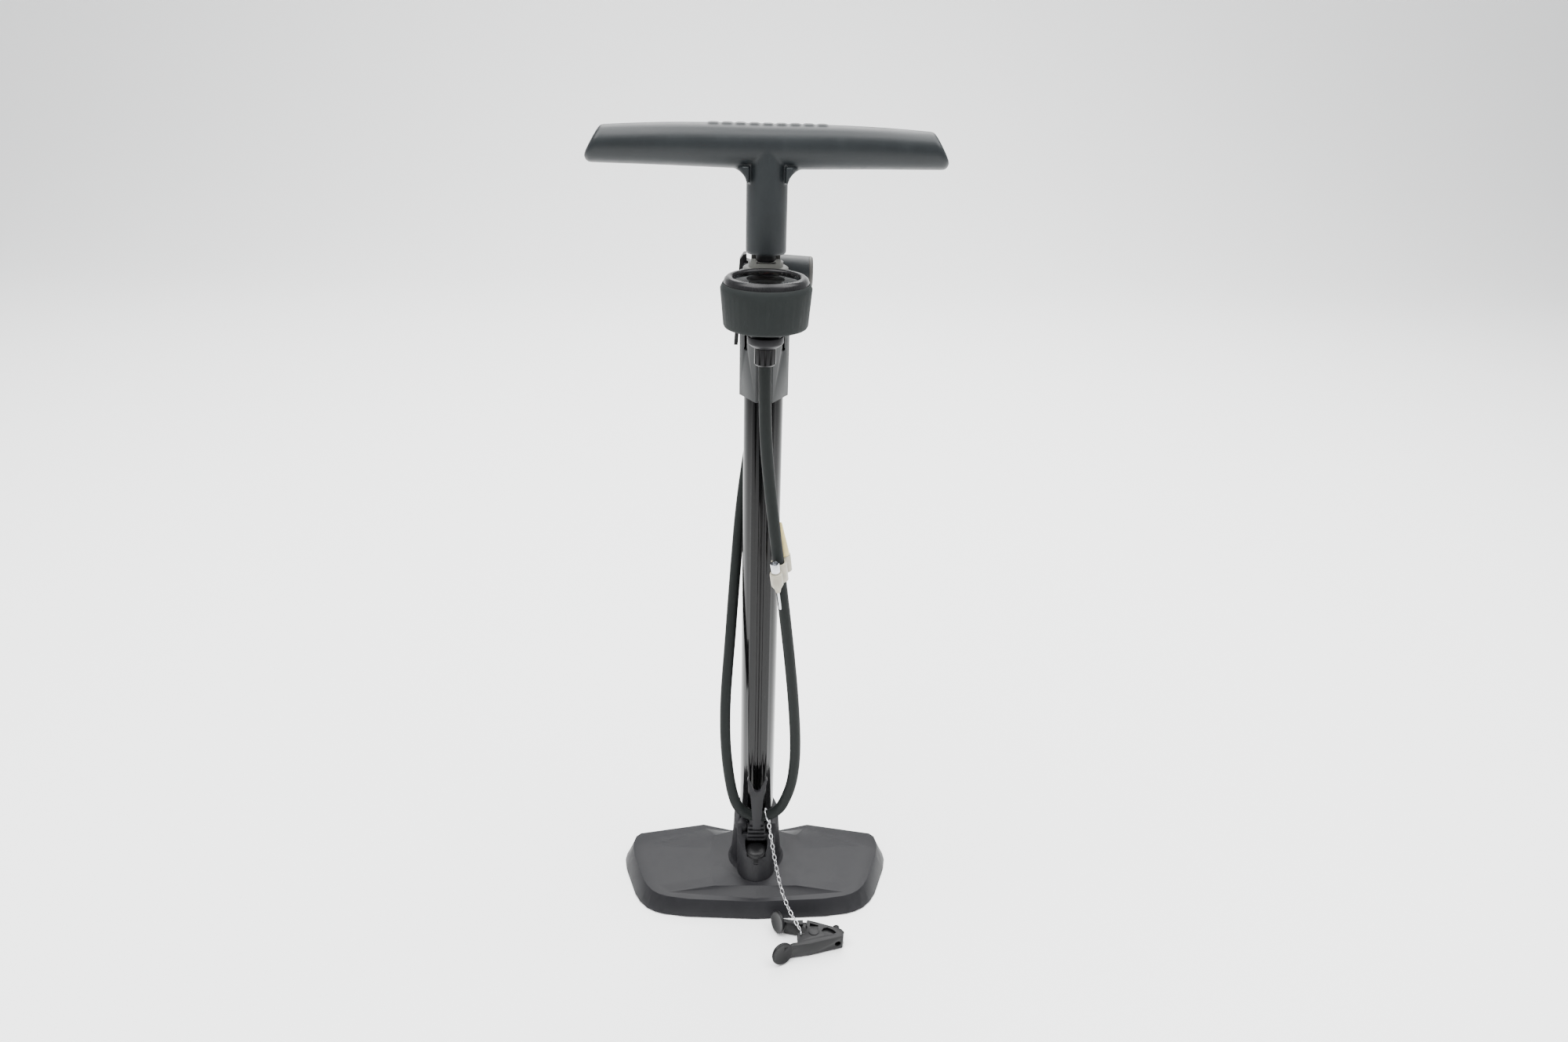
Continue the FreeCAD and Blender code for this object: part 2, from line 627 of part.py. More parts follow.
def top_cap():
    low = barrel_top - S.cap_skirt
    skirt = barrel_bore - S.fit
    blank = turned("cap_blank", [
        (7.6, low), (skirt, low), (skirt, collar_top), (S.cap_radius, collar_top),
        (S.cap_radius, flange_top - 1.0), (S.cap_radius - 1.4, flange_top), (S.cap_hub, flange_top),
        (S.cap_hub, hub_top), (S.bumper_radius + 0.8, hub_top), (S.bumper_radius + 0.8, hub_floor),
        (7.6, hub_floor),
    ])
    notch = 7.0
    clear = rod(S.boot_radius + S.slack, collar_top - 1.0, hub_top + 1.0, 0.0, -S.gauge_reach)
    node("top_cap", minus(
        blank,
        block((-notch, notch), (-20.0, 20.0), (hub_floor, hub_top + 1.0)),
        block((-20.0, 20.0), (-notch, notch), (hub_floor, hub_top + 1.0)),
        clear,
    ))
    node("cap_seal", turned("cap_seal_body", ring_section(7.7, skirt - 0.1, low - 2.4, low - 0.1, 0.5)))
    node("rod_bushing", turned("rod_bushing_body", [
        (S.rod_radius + S.fit, low + 2.0), (7.55, low + 2.0), (7.55, hub_floor - 0.1),
        (S.rod_radius + S.fit, hub_floor - 0.1),
    ]))


# ---------------------------------------------------------------- piston, rod and handle
def piston():
    skirt = barrel_bore - 0.3
    groove = skirt - 2.2
    rod_hole = S.rod_radius - 1.0 + S.fit
    node("piston_head", turned("piston_head_body", [
        (rod_hole, piston_low), (skirt, piston_low), (skirt, piston_low + 5.0), (groove, piston_low + 5.0),
        (groove, piston_low + 8.6), (skirt, piston_low + 8.6), (skirt, piston_top), (rod_hole, piston_top),
    ]))
    node("piston_seal", turned("piston_seal_body", ring_section(
        groove + S.fit, barrel_bore - S.fit, piston_low + 5.1, piston_low + 8.5, 0.8)))
    nut = slab("piston_nut_blank", hexagon(8.0), piston_nut_low, piston_low - 0.05)
    node("piston_nut", minus(nut, rod(rod_hole, piston_nut_low - 1.0, piston_low + 1.0)))
    node("piston_rod", turned("piston_rod_body", [
        (0.0, piston_nut_low + 0.3), (S.rod_radius - 1.0, piston_nut_low + 0.3),
        (S.rod_radius - 1.0, piston_top + S.fit), (S.rod_radius, piston_top + S.fit),
        (S.rod_radius, rod_top - 1.0), (S.rod_radius - 1.0, rod_top), (0.0, rod_top),
    ]))


def bar_size(x):
    """Bottom, height and depth of the bar at a distance from its middle."""
    share = abs(x) / (S.bar_side.number + 8.0)
    fade = share * share
    height = S.bar_height.number + (S.bar_end_height.number - S.bar_height.number) * fade
    depth = S.bar_depth.number + (S.bar_end_depth.number - S.bar_depth.number) * fade
    return bar_low.number + 2.6 * share, height, depth


def bar_section(x):
    bottom, height, depth = bar_size(x)
    points = []
    for k in range(16):
        angle = math.radians(22.5 * k)
        points.append(Vector(x, depth / 2 * math.cos(angle), bottom + height / 2 * (1 + math.sin(angle))))
    curve = Part.BSplineCurve()
    curve.interpolate(Points=points, PeriodicFlag=True)
    return Part.Wire(curve.toShape())


def bar_shape():
    """The bar: rounded sections that shrink to its ends, with slanted, rounded end faces."""
    side, low = S.bar_side.number, bar_low.number
    reach = side + 8.0
    bar = Part.makeLoft([bar_section(reach * k / 3) for k in range(-3, 4)], True)
    for sign in (-1, 1):
        tool = Part.makeBox(60, 80, 120, Vector(0, -40, -60))
        turn = Rotation(Vector(0, 1, 0), -31.0 * sign)
        if sign < 0:
            turn = turn * Rotation(Vector(0, 0, 1), 180)
        tool.Placement = Placement(Vector(sign * (side - 1.5), 0, low + 7.0), turn)
        bar = bar.cut(tool)
    rims = [edge for edge in bar.Edges if abs(edge.CenterOfMass.x) > side - 14.0]
    return bar.makeFillet(4.5, rims)


def handle():
    bar = bar_shape()
    foot = stem_foot.number
    radius = S.stem_radius.number
    stem = Part.makeCylinder(radius, bar_low.number + 16.0 - foot, Vector(0, 0, foot), LIFT)
    stem = stem.makeChamfer(0.8, [e for e in stem.Edges if abs(e.CenterOfMass.z - foot) < 0.01 and e.isClosed()])
    # a web rounds the corner between stem and bar, as thick as the stem
    corner, bar_foot = 8.0, bar_low.number
    flare = []
    for sign in (-1, 1):
        start = radius - 2.0 if sign > 0 else -radius - corner
        wedge = Part.makeBox(corner + 2.0, 2 * radius, corner + 3.0, Vector(start, -radius, bar_foot - corner))
        middle = Vector(sign * (radius + corner), -2 * radius, bar_foot - corner)
        hollow = Part.makeCylinder(corner, 4 * radius, middle, Vector(0, 1, 0))
        flare.append(wedge.cut(hollow))
    web = flare[0].fuse(flare[1])
    limit = Part.makeCylinder(radius + corner, 60.0, Vector(0, 0, bar_foot - 20.0), LIFT)
    web = web.common(limit)
    solid = bar.fuse([stem, web]).removeSplitter()
    ribs = []
    for k in range(9):
        x = -38.0 + 9.5 * k
        bottom, height, _ = bar_size(x)
        top = bottom + height
        ribs.append(Part.makeBox(6.0, 9.0, 4.0, Vector(x - 3.0, -4.5, top - 3.5)))
    solid = solid.fuse(ribs)
    bore_radius = (S.rod_radius + S.fit).number
    bore = Part.makeCylinder(bore_radius, S.rod_grip.number + 1.0, Vector(0, 0, foot - 0.5), LIFT)
    seat = Part.makeCylinder(8.0 + S.fit.number, 30.0, Vector(0, 0, foot + 8.0), LIFT)
    solid = solid.cut([bore, seat])
    thing = doc.addObject("Part::Feature", "HandleShape")
    thing.Shape = solid
    node("handle", thing)
    node("handle_insert", turned("handle_insert_body", [
        (S.rod_radius + S.fit, stem_foot + 8.1), (8.0, stem_foot + 8.1), (8.0, stem_foot + 37.9),
        (S.rod_radius + S.fit, stem_foot + 37.9),
    ]))
    radius, low = S.bumper_radius, stem_foot - S.bumper_height
    node("rod_bumper", turned("rod_bumper_body", [
        (S.rod_radius + S.fit, low), (radius - 0.8, low), (radius, low + 0.8), (radius, stem_foot - 0.1),
        (S.rod_radius + S.fit, stem_foot - 0.1),
    ]))


# ---------------------------------------------------------------- gauge
def at_gauge(thing):
    return place(thing, (0.0, -S.gauge_reach, 0.0))


def gauge_housing():
    floor, top, radius, wall = gauge_floor, case_top, S.case_radius, S.case_wall
    node("gauge_case", at_gauge(turned("gauge_case_body", [
        (8.0 + S.fit, floor + 0.05), (radius, floor + 0.05), (radius, top), (radius - wall, top),
        (radius - wall, floor + 2.4), (8.0 + S.fit, floor + 2.4),
    ])))
    inner = radius + 0.1
    lip = S.bezel_radius + 0.25
    node("gauge_boot", at_gauge(turned("gauge_boot_body", [
        (inner, floor + 0.1), (S.boot_low_radius - 2.6, floor + 0.1), (S.boot_low_radius - 0.8, floor + 0.8),
        (S.boot_low_radius, floor + 2.6), (S.boot_radius, top - 3.0), (lip + 0.6, top + 0.4),
        (lip, top + 0.4), (lip, top - 3.8), (inner, top - 3.8),
    ])))
    bezel = S.bezel_radius
    lens_top = lens_low + S.lens_thick
    node("gauge_bezel", at_gauge(turned("gauge_bezel_body", [
        (inner, top - 3.4), (bezel, top - 3.4), (bezel, top + 1.4), (bezel - 0.7, top + 3.4),
        (bezel - 2.4, top + 4.9), (bezel - 4.0, top + 5.2), (S.window_radius + 0.8, top + 4.8),
        (S.window_radius, top + 4.0), (S.window_radius, lens_top + 0.1),
        (radius + 1.9, lens_top + 0.1), (radius + 1.9, top + 0.1), (inner, top + 0.1),
    ])))
    node("gauge_lens", at_gauge(turned("gauge_lens_body", [
        (0.0, lens_low), (radius + 1.6, lens_low), (radius + 1.6, lens_top), (S.window_radius - 0.4, lens_top),
        (14.0, lens_top + 0.9), (0.0, lens_top + 1.2),
    ])))
    node("gauge_dial", at_gauge(turned("gauge_dial_body", [
        (1.4, dial_top - 0.6), (radius - wall - 0.1, dial_top - 0.6), (radius - wall - 0.1, dial_top),
        (1.4, dial_top),
    ])))


def gear_teeth(pitch, tooth_angle, angles, low, high, hub):
    """Trapezoid teeth on a pitch circle; sizes in proportion to the circular pitch."""
    step = pitch * math.radians(tooth_angle)
    root, tip = pitch - 0.42, pitch + 0.30
    half_root, half_tip = 0.27 * step, 0.13 * step
    teeth = []
    for angle in angles:
        corners = [Vector(hub, -half_root, low), Vector(root, -half_root, low), Vector(tip, -half_tip, low),
                   Vector(tip, half_tip, low), Vector(root, half_root, low), Vector(hub, half_root, low)]
        tooth = Part.Face(Part.makePolygon(corners + corners[:1])).extrude(Vector(0, 0, high - low))
        tooth.rotate(Vector(0, 0, 0), LIFT, angle)
        teeth.append(tooth)
    return teeth


def gauge_movement():
    floor = gauge_floor
    reach = -S.gauge_reach
    foot = turned("socket_base", [
        (0.0, floor + 2.5), (10.5, floor + 2.5), (10.5, floor + 4.6), (0.0, floor + 4.6),
    ])
    socket = plus(
        at_gauge(foot),
        block((-4.0, 4.0), (reach + 6.0, reach + 21.5), (floor + 2.5, floor + 4.6)),
        block((-4.0, 4.0), (reach + 15.5, reach + 21.5), (floor + 2.5, floor + 21.0)),
    )
    node("gauge_socket", socket)
    # the curved pressure tube starts at the socket and runs three quarters round
    tube_level = floor + 19.0
    sweep = doc.addObject("Part::Torus", "TubeTorus")
    sweep.Radius1, sweep.Radius2 = 18.5, 1.5
    sweep.Angle3 = 248.0
    place(sweep, (0.0, reach, tube_level), Rotation(Vector(0, 0, 1), 103.0))
    node("bourdon_tube", sweep)
    low, high = (floor + 6.0).number, (floor + 16.0).number
    pivot = -(S.sector_pitch + S.pinion_pitch)
    plate = [(pivot - 2.2, reach - 6.0), (6.0, reach - 6.0), (6.0, reach + 6.0), (pivot - 2.2, reach + 6.0)]
    frame = plus(
        slab("plate_low", plate, floor + 5.0, floor + 6.0),
        slab("plate_high", plate, floor + 15.0, floor + 16.0),
        rod(1.2, floor + 4.6, floor + 15.5, 4.4, reach + 4.4),
        rod(1.2, floor + 4.6, floor + 15.5, 4.4, reach - 4.4),
        rod(1.0, floor + 4.6, floor + 15.5, pivot - 1.2, reach + 4.6),
        rod(1.0, floor + 4.6, floor + 15.5, pivot - 1.2, reach - 4.6),
    )
    node("gauge_frame", minus(
        frame,
        rod(0.7 + S.fit, floor + 4.0, floor + 17.0, 0.0, reach),
        rod(0.7 + S.fit, floor + 4.0, floor + 17.0, pivot, reach),
    ))
    # the sector gear and the pinion mesh on the line between their arbors
    mesh_low = (floor + 10.0).number
    ratio = S.sector_pitch.number / S.pinion_pitch.number
    count = 10
    step = 360.0 / count
    sector_step = step / ratio
    pinion = Part.makeCylinder(S.pinion_pitch.number - 0.42, 2.4, Vector(0, 0, mesh_low - 0.6), LIFT)
    places = [180 + step * (k + 0.5) for k in range(count)]
    pinion = pinion.fuse(gear_teeth(S.pinion_pitch.number, step, places, mesh_low - 0.6, mesh_low + 1.8, 0.5))
    shaft_length = (dial_top - floor).number - 3.0
    pinion = pinion.fuse(Part.makeCylinder(0.7, shaft_length, Vector(0, 0, (floor + 5.1).number), LIFT))
    arbor = doc.addObject("Part::Feature", "ArborShape")
    arbor.Shape = pinion.removeSplitter()
    node("pointer_arbor", place(arbor, (0.0, reach, 0.0)))
    pitch = S.sector_pitch.number
    first, last = -9, 1
    blade = Part.makeCylinder(pitch - 0.42, 1.2, Vector(0, 0, mesh_low), LIFT, (last - first + 1) * sector_step)
    blade.rotate(Vector(0, 0, 0), LIFT, (first - 0.5) * sector_step)
    window = Part.makeCylinder(pitch - 3.2, 3.0, Vector(0, 0, mesh_low - 1), LIFT, (last - first - 1) * sector_step)
    window.rotate(Vector(0, 0, 0), LIFT, (first + 0.5) * sector_step)
    hub = Part.makeCylinder(2.4, 1.2, Vector(0, 0, mesh_low), LIFT)
    spokes = blade.cut(window.cut(Part.makeCylinder(2.0, 9.0, Vector(0, 0, mesh_low - 3), LIFT)))
    sector = spokes.fuse([hub, Part.makeCylinder(0.7, 10.4, Vector(0, 0, low - 0.7), LIFT)])
    sector = sector.fuse(gear_teeth(pitch, sector_step, [sector_step * k for k in range(first, last + 1)],
                                    mesh_low, mesh_low + 1.2, pitch - 2.0))
    gear = doc.addObject("Part::Feature", "SectorShape")
    gear.Shape = sector.removeSplitter()
    node("gauge_sector", place(gear, (pivot, reach, 0.0)))
    level = dial_top + 1.2
    hub = turned("hand_hub", [
        (0.0, level), (2.6, level), (2.6, level + 1.0), (1.4, level + 1.8), (0.0, level + 1.8),
    ])
    blade = slab("hand_blade", [
        (-14.6, reach - 14.9), (1.4, reach - 1.0), (6.0, reach + 4.6), (4.6, reach + 6.0), (-1.0, reach + 1.4),
    ], level, level + 0.6)
    hand = plus(at_gauge(hub), blade)
    node("gauge_pointer", minus(hand, rod(0.7 + S.fit, level - 1.0, dial_top + 2.1, 0.0, reach)))


def gauge_outlet():
    low = manifold_low
    node("gauge_manifold", at_gauge(turned("gauge_manifold_body", [
        (0.0, low), (9.6, low), (S.manifold_radius, low + 3.0), (S.manifold_radius, bracket_low - 0.05),
        (8.0, bracket_low - 0.05), (8.0, gauge_floor + 2.4), (0.0, gauge_floor + 2.4),
    ])))
    foot = hose_nut_foot
    nut = turned("hose_nut_blank", [
        (S.hose_radius + 0.5, foot), (S.nut_radius - 1.0, foot), (S.nut_radius, foot + 1.2),
        (S.nut_radius, low - 0.8), (S.nut_radius - 0.6, low - 0.1), (S.hose_radius + 0.5, low - 0.1),
    ])
    flutes = []
    for k in range(12):
        angle = math.radians(30.0 * k)
        across, out = S.nut_radius * math.cos(angle), S.nut_radius * math.sin(angle)
        flutes.append(rod(0.75, foot + 1.4, low - 1.0, across, out))
    node("hose_nut", at_gauge(minus(nut, *flutes)))
    node("hose_tail", at_gauge(turned("hose_tail_body", [
        (0.0, foot + 0.05), (S.hose_radius + 0.45, foot + 0.05), (S.hose_radius + 0.45, low - 0.1),
        (0.0, low - 0.1),
    ])))


# ---------------------------------------------------------------- pump head on its clip
def pump_head():
    y, z, x_joint = S.head_reach, S.head_level, S.head_hose_side
    nose_start = 33.4
    along = turned("head_barrel", [
        (0.0, -17.0), (8.6, -17.0), (9.4, -16.0), (9.4, -6.0), (S.head_radius - 0.6, -3.0), (S.head_radius, 2.0),
        (S.head_radius, 12.0), (S.head_radius - 1.2, nose_start), (0.0, nose_start),
    ])
    place(along, (0.0, y, z), ALONG_X)
    boss = rod(7.0, joint_low + 12.0, z, x_joint, y)
    slot_half = S.lever_width / 2 + S.slack / 2
    shape = minus(
        plus(along, boss),
        block((-18.0, -5.5), (y - slot_half, y + slot_half), (z - 20.0, z + 20.0)),
        block((-18.0, 2.0), (y - slot_half, y + slot_half), (z + 3.0, z + 20.0)),
        cross_rod(3.4 + S.fit, (-8.0, y, z), 50.0, ALONG_X),
        cross_rod(6.6, (20.0, y, z), 15.0, ALONG_X),
        cross_rod(1.5 + S.fit, (-12.0, y - 20.0, z + 2.0), 40.0, ALONG_Y),
        rod(1.8, joint_low + 10.0, z, x_joint, y),
    )
    node("head_body", shape)
    node("head_lever_pin", cross_rod(1.5, (-12.0, y - 9.0, z + 2.0), 18.0, ALONG_Y))
    tip, width = z - 57.0, S.lever_width
    lever = slab("lever_blank", [
        (-14.4, z + 14.0), (-16.8, z + 13.4), (-19.6, z + 9.0), (-20.4, z - 3.0), (-23.6, tip), (-20.6, tip),
        (-17.2, z - 10.0), (-15.0, z - 3.2), (-9.0, z - 3.0), (-7.0, z), (-7.0, z + 4.5), (-9.6, z + 7.4),
        (-14.2, z + 8.9),
    ], -y - width / 2, -y + width / 2, "XZ_Plane")
    node("head_lever", minus(lever, cross_rod(1.5 + S.fit, (-12.0, y - 20.0, z + 2.0), 40.0, ALONG_Y)))
    plunger = turned("plunger_blank", [(0.0, -6.0), (3.0, -6.0), (3.4, -5.4), (3.4, 18.0), (0.0, 18.0)])
    place(plunger, (0.0, y, z), ALONG_X)
    node("head_plunger", minus(plunger, cross_rod(1.2, (4.0, y, z), 20.0, ALONG_X)))
    node("head_gasket", place(turned("gasket_body", [
        (2.9, 21.2), (6.3, 21.2), (6.3, nose_start - 0.4), (2.9, nose_start - 0.4),
    ]), (0.0, y, z), ALONG_X))
    radius = S.head_radius - 1.2
    nose = turned("nose_blank", [
        (4.2, nose_start + 0.1), (radius, nose_start + 0.1), (radius, nose_start + 2.0),
        (radius - 1.0, nose_start + 3.2), (4.2, nose_start + 3.2),
    ])
    node("head_nose", place(nose, (0.0, y, z), ALONG_X))
    low = joint_low
    node("head_ferrule", place(turned("ferrule_body", [
        (0.0, low), (6.6, low), (7.4, low + 1.0), (7.4, low + 10.8), (6.6, low + 11.9), (0.0, low + 11.9),
    ]), (x_joint, y, 0.0)))
    grip_low, grip_high = low + 2.0, low + 9.0
    ring = minus(
        plus(rod(10.2, grip_low, grip_high, x_joint, y),
             block((x_joint - 6.0, x_joint + 6.0), (S.collar_back - 1.4, y - 6.0), (grip_low, grip_high)),
             block((-8.8, 8.8), (S.collar_back - 1.5, S.collar_back), (grip_low - 8.0, grip_high))),
        rod(7.4 + S.slack, grip_low - 1.0, grip_high + 1.0, x_joint, y),
        block((x_joint - 6.0, x_joint + 6.0), (y + 2.0, y + 20.0), (grip_low - 1.0, grip_high + 1.0)),
    )
    node("head_clip", ring)


# ---------------------------------------------------------------- cords and what is on them
HOSE_POINTS = [
    (0.0, -48.0, 521.5), (0.6, -48.0, 476.0), (4.6, -45.0, 430.0), (12.4, -41.5, 366.0), (21.0, -37.8, 300.0),
    (29.0, -35.0, 230.0), (33.4, -31.5, 169.0), (31.5, -29.0, 132.0), (26.3, -27.2, 111.5), (20.3, -26.3, 97.0),
    (9.4, -25.4, 88.9), (-5.0, -25.2, 88.9), (-16.7, -24.8, 97.2), (-21.8, -24.0, 111.0), (-25.5, -22.6, 132.0),
    (-28.9, -19.5, 164.0), (-29.3, -15.0, 208.0), (-25.4, -6.0, 262.0), (-21.5, 6.5, 322.0), (-16.8, 20.0, 384.0),
    (-8.6, 29.5, 442.0), (1.0, 33.0, 494.0), (2.0, 33.0, 546.0),
]
CHAIN_POINTS = [
    (11.0, -33.2, 87.0), (13.4, -36.0, 73.0), (15.6, -39.6, 60.0), (18.3, -45.6, 47.5), (21.4, -53.5, 36.5),
    (25.2, -62.0, 27.5), (29.4, -70.6, 22.0), (33.8, -79.4, 19.2), (39.7, -90.0, 15.9),
]
CHAIN_RADIUS = 1.5


def cord_path(points):
    """Straight runs joined by tangent arcs, and the arcs' radii."""
    spots = [Vector(*p) for p in points]
    edges, radii = [], []
    start = spots[0]
    for before, corner, after in zip(spots, spots[1:], spots[2:]):
        into = (corner - before).normalize()
        out = (after - corner).normalize()
        turn = into.getAngle(out)
        cut = 0.45 * min((corner - before).Length, (after - corner).Length)
        radii.append(cut / math.tan(turn / 2))
        first, last = corner - into * cut, corner + out * cut
        inward = (out - into).normalize()
        centre = corner + inward * (radii[-1] / math.cos(turn / 2))
        middle = centre - inward * radii[-1]
        edges.append(Part.LineSegment(start, first).toShape())
        edges.append(Part.Arc(first, middle, last).toShape())
        start = last
    edges.append(Part.LineSegment(start, spots[-1]).toShape())
    return Part.Wire(edges), radii


def cord(label, points, radius):
    path, radii = cord_path(points)
    first = Vector(*points[1]) - Vector(*points[0])
    section = Part.Wire(Part.Circle(Vector(*points[0]), first, radius).toShape())
    tube = path.makePipeShell([section], True, False)
    share = tube.Volume / (math.pi * radius * radius * path.Length)
    print(f"{label}: length {path.Length:.0f}, volume share {share:.4f}, radii",
          [round(r) for r in radii])
    thing = doc.addObject("Part::Feature", label.title())
    thing.Shape = tube
    return node(label, thing)


def hose_ring():
    wire = doc.addObject("Part::Torus", "RingTorus")
    wire.Radius1, wire.Radius2 = 6.5, 0.6
    node("hose_ring", place(wire, (9.6, -25.3, 89.5), Rotation(LIFT, Vector(0.93, 0.04, 0.36))))


def adapter_holder():
    """A springy holder on the hose that keeps the ball needle and the cone nozzle."""
    above, below = Vector(*HOSE_POINTS[3]), Vector(*HOSE_POINTS[4])
    along = Rotation(Vector(0, 0, 1), above - below)
    at = above + (below - above) * 0.24
    needle_x, needle_y, cone_x, cone_y = -2.6, -9.9, 4.8, 9.2
    grip = S.hose_radius + 0.3
    needle_cup = turned("needle_cup", [
        (0.0, -13.5), (1.9, -13.5), (2.6, -10.5), (4.9, -6.5), (4.9, 4.0), (0.0, 4.0),
    ])
    shell = plus(
        rod(grip + 1.6, -8.0, 8.0),
        place(needle_cup, (needle_x, needle_y, 0.0)),
        rod(5.3, -5.0, 9.0, cone_x, cone_y),
    )
    shape = minus(
        shell,
        rod(grip, -14.5, 12.5),
        block((-12.0, -1.5), (-1.0, 3.2), (-14.5, 13.0)),
        rod(3.3 + S.slack / 2, -6.35, 5.0, needle_x, needle_y),
        rod(1.0 + S.slack / 2, -14.5, -6.0, needle_x, needle_y),
        rod(3.8 + S.slack / 2, -3.5, 10.0, cone_x, cone_y),
    )
    node("adapter_holder", place(shape, at, along))
    needle = turned("needle_body", [
        (0.0, -30.0), (0.7, -30.0), (1.0, -29.2), (1.0, -6.3), (3.3, -6.3), (3.3, 4.2), (3.6, 4.2), (3.6, 13.0),
        (2.6, 13.0), (2.6, 9.5), (0.0, 9.5),
    ])
    node("ball_needle", place(needle, beside(at, along, needle_x, needle_y), along))
    cone = turned("cone_body", [
        (0.0, -3.3), (3.8, -3.3), (3.8, 9.2), (4.6, 9.2), (4.6, 10.6), (1.5, 38.0), (0.8, 38.0), (0.8, 32.0),
        (0.0, 32.0),
    ])
    node("cone_nozzle", place(cone, beside(at, along, cone_x, cone_y), along))


def beside(at, turn, x, y):
    """A point given in a turned frame, in the pump's frame."""
    return tuple(Vector(*at) + turn.multVec(Vector(x, y, 0.0)))


CLIP_AT = (51.5, -90.5, 0.0)


def clip_adapter():
    """The spring clip for another kind of valve; it lies on its side at the end of the chain."""
    low, high, cover = 1.0, 15.0, 2.2
    arm = slab("front_arm", [
        (-26.0, -20.0), (-19.6, -16.6), (-4.7, -14.2), (25.8, -5.5), (26.5, -4.4), (25.0, -2.4),
        (10.0, -6.2), (-4.5, -10.8), (-19.0, -13.2), (-25.0, -16.8),
    ], low, high)
    edge = [
        (-15.0, -13.4), (-4.7, -13.4), (10.5, -9.0), (25.6, -4.8), (27.2, -1.0), (25.0, 2.4), (19.6, 4.6),
        (-0.1, 11.6), (-5.1, 13.0), (-6.5, 8.0), (-5.5, 4.5), (-6.5, -0.5), (-8.0, -2.0), (-15.0, -2.0),
    ]
    covers = [slab("cover_low", edge, low, low + cover), slab("cover_high", edge, high - cover, high)]
    boss = rod(4.8, high - cover, high + 0.7)
    paddle = place(paddle_body("front_paddle"), (-28.6, -20.6, 10.6), upright(28.0, 12.0))
    bore = rod(CLIP_PIN + S.fit, low + 0.6, high - 0.6)
    openings = [
        slab("oval", [(7.1, 0.6), (9.0, 3.6), (12.5, 4.4), (17.5, 1.6), (20.1, -1.5), (16.0, -4.0), (11.0, -4.2)],
             high - cover - 1.0, high + 1.0),
        slab("window", [(-2.8, 9.5), (4.6, 6.6), (4.4, 5.4), (-3.4, 5.4)], high - cover - 1.0, high + 1.0),
        cross_rod(2.7, (21.5, -12.0, 7.0), 10.0, ALONG_Y),
        rod(1.05, high - cover - 1.0, high + 1.0, -11.5, -4.6),
    ]
    shell = minus(plus(arm, paddle, boss, *covers), bore, *openings)
    node("clip_body", place(shell, CLIP_AT))
    tail = slab("rear_tail", [
        (-29.0, 15.6), (-15.2, 12.9), (-9.0, 13.4), (-9.0, 8.7), (-15.0, 8.2), (-24.0, 10.4), (-28.0, 12.4),
    ], low + 0.6, high - 0.4)
    jaw = slab("rear_jaw", [
        (-10.0, 13.0), (-4.5, 12.2), (-0.3, 10.4), (19.2, 3.6), (24.5, 1.5), (25.0, -1.4), (15.0, -1.8),
        (6.0, -3.6), (0.0, -4.6), (-3.8, -2.4), (-4.8, 3.0), (-10.0, 8.9),
    ], low + cover + S.slack, high - cover - S.slack)
    thumb = place(paddle_body("rear_paddle"), (-31.0, 15.0, 10.6), upright(-60.0, 12.0))
    nipple = cross_rod(3.2, (21.0, 1.0, 8.0), 10.0, ALONG_Y)
    coil_room = rod(3.3, 6.6, 9.4)
    lever = minus(plus(tail, jaw, thumb, nipple), rod(CLIP_PIN + S.fit, low, high), coil_room)
    node("clip_lever", place(lever, CLIP_AT))
    node("clip_pin", rod(CLIP_PIN, low + 0.7, high - 0.7, CLIP_AT[0], CLIP_AT[1]))
    coil = minus(rod(2.9, 6.8, 9.2), rod(CLIP_PIN + S.fit, 6.0, 10.0))
    node("clip_spring", place(coil, CLIP_AT))
    hook = doc.addObject("Part::Torus", "EndTorus")
    hook.Radius1, hook.Radius2 = 2.6, 0.4
    ring_at = Vector(*CLIP_AT) + Vector(-11.5, -2.0, high - cover / 2)
    node("chain_end_ring", place(hook, ring_at, Rotation(Vector(0, 0, 1), Vector(1, 0, 0))))


CLIP_PIN = 1.5


def upright(turn, lean):
    """Stand a disc on its edge, lean its top back, then turn it about Z."""
    return Rotation(LIFT, turn) * Rotation(Vector(1, 0, 0), 90.0 - lean)


def paddle_body(name):
    """A thumb pad: a dished disc with a rolled edge."""
    return turned(name, [
        (0.0, -1.6), (8.0, -1.4), (9.8, -0.5), (10.2, 0.6), (9.6, 1.8), (8.4, 1.8), (6.0, 1.1), (0.0, 0.6),
    ])


# ---------------------------------------------------------------- the whole pump
base()
feet()
barrel_fixings()
check_valve()
hose_hook()
barrel()
collar()
top_cap()
piston()
handle()
gauge_housing()
gauge_movement()
gauge_outlet()
pump_head()
cord("hose", HOSE_POINTS, S.hose_radius.number)
cord("chain", CHAIN_POINTS, CHAIN_RADIUS)
hose_ring()
adapter_holder()
clip_adapter()

doc.recompute()
for thing in doc.Objects:
    if "Invalid" in thing.State or "Error" in thing.State:
        raise RuntimeError(f"{thing.Label} ({thing.Name}) failed: {thing.State}")
os.makedirs("parts", exist_ok=True)
for thing in NODES:
    shape = thing.Shape
    if shape.isNull() or not shape.isValid() or not shape.Solids:
        raise RuntimeError(f"{thing.Label} has no valid solid")
    shape.exportStep(f"parts/{thing.Label}.step")
print(len(NODES), "nodes written")
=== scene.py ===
"""Dresses a bicycle floor pump: moulded shells, gauge, hose, chain, clip, materials, light and camera.

The moving frame is loaded first.  Every length is in metres, with +Z up and the gauge on the -Y side.
"""

import math

import bpy
from bpy.props import FloatProperty, FloatVectorProperty, IntProperty, PointerProperty
from mathutils import Matrix, Vector


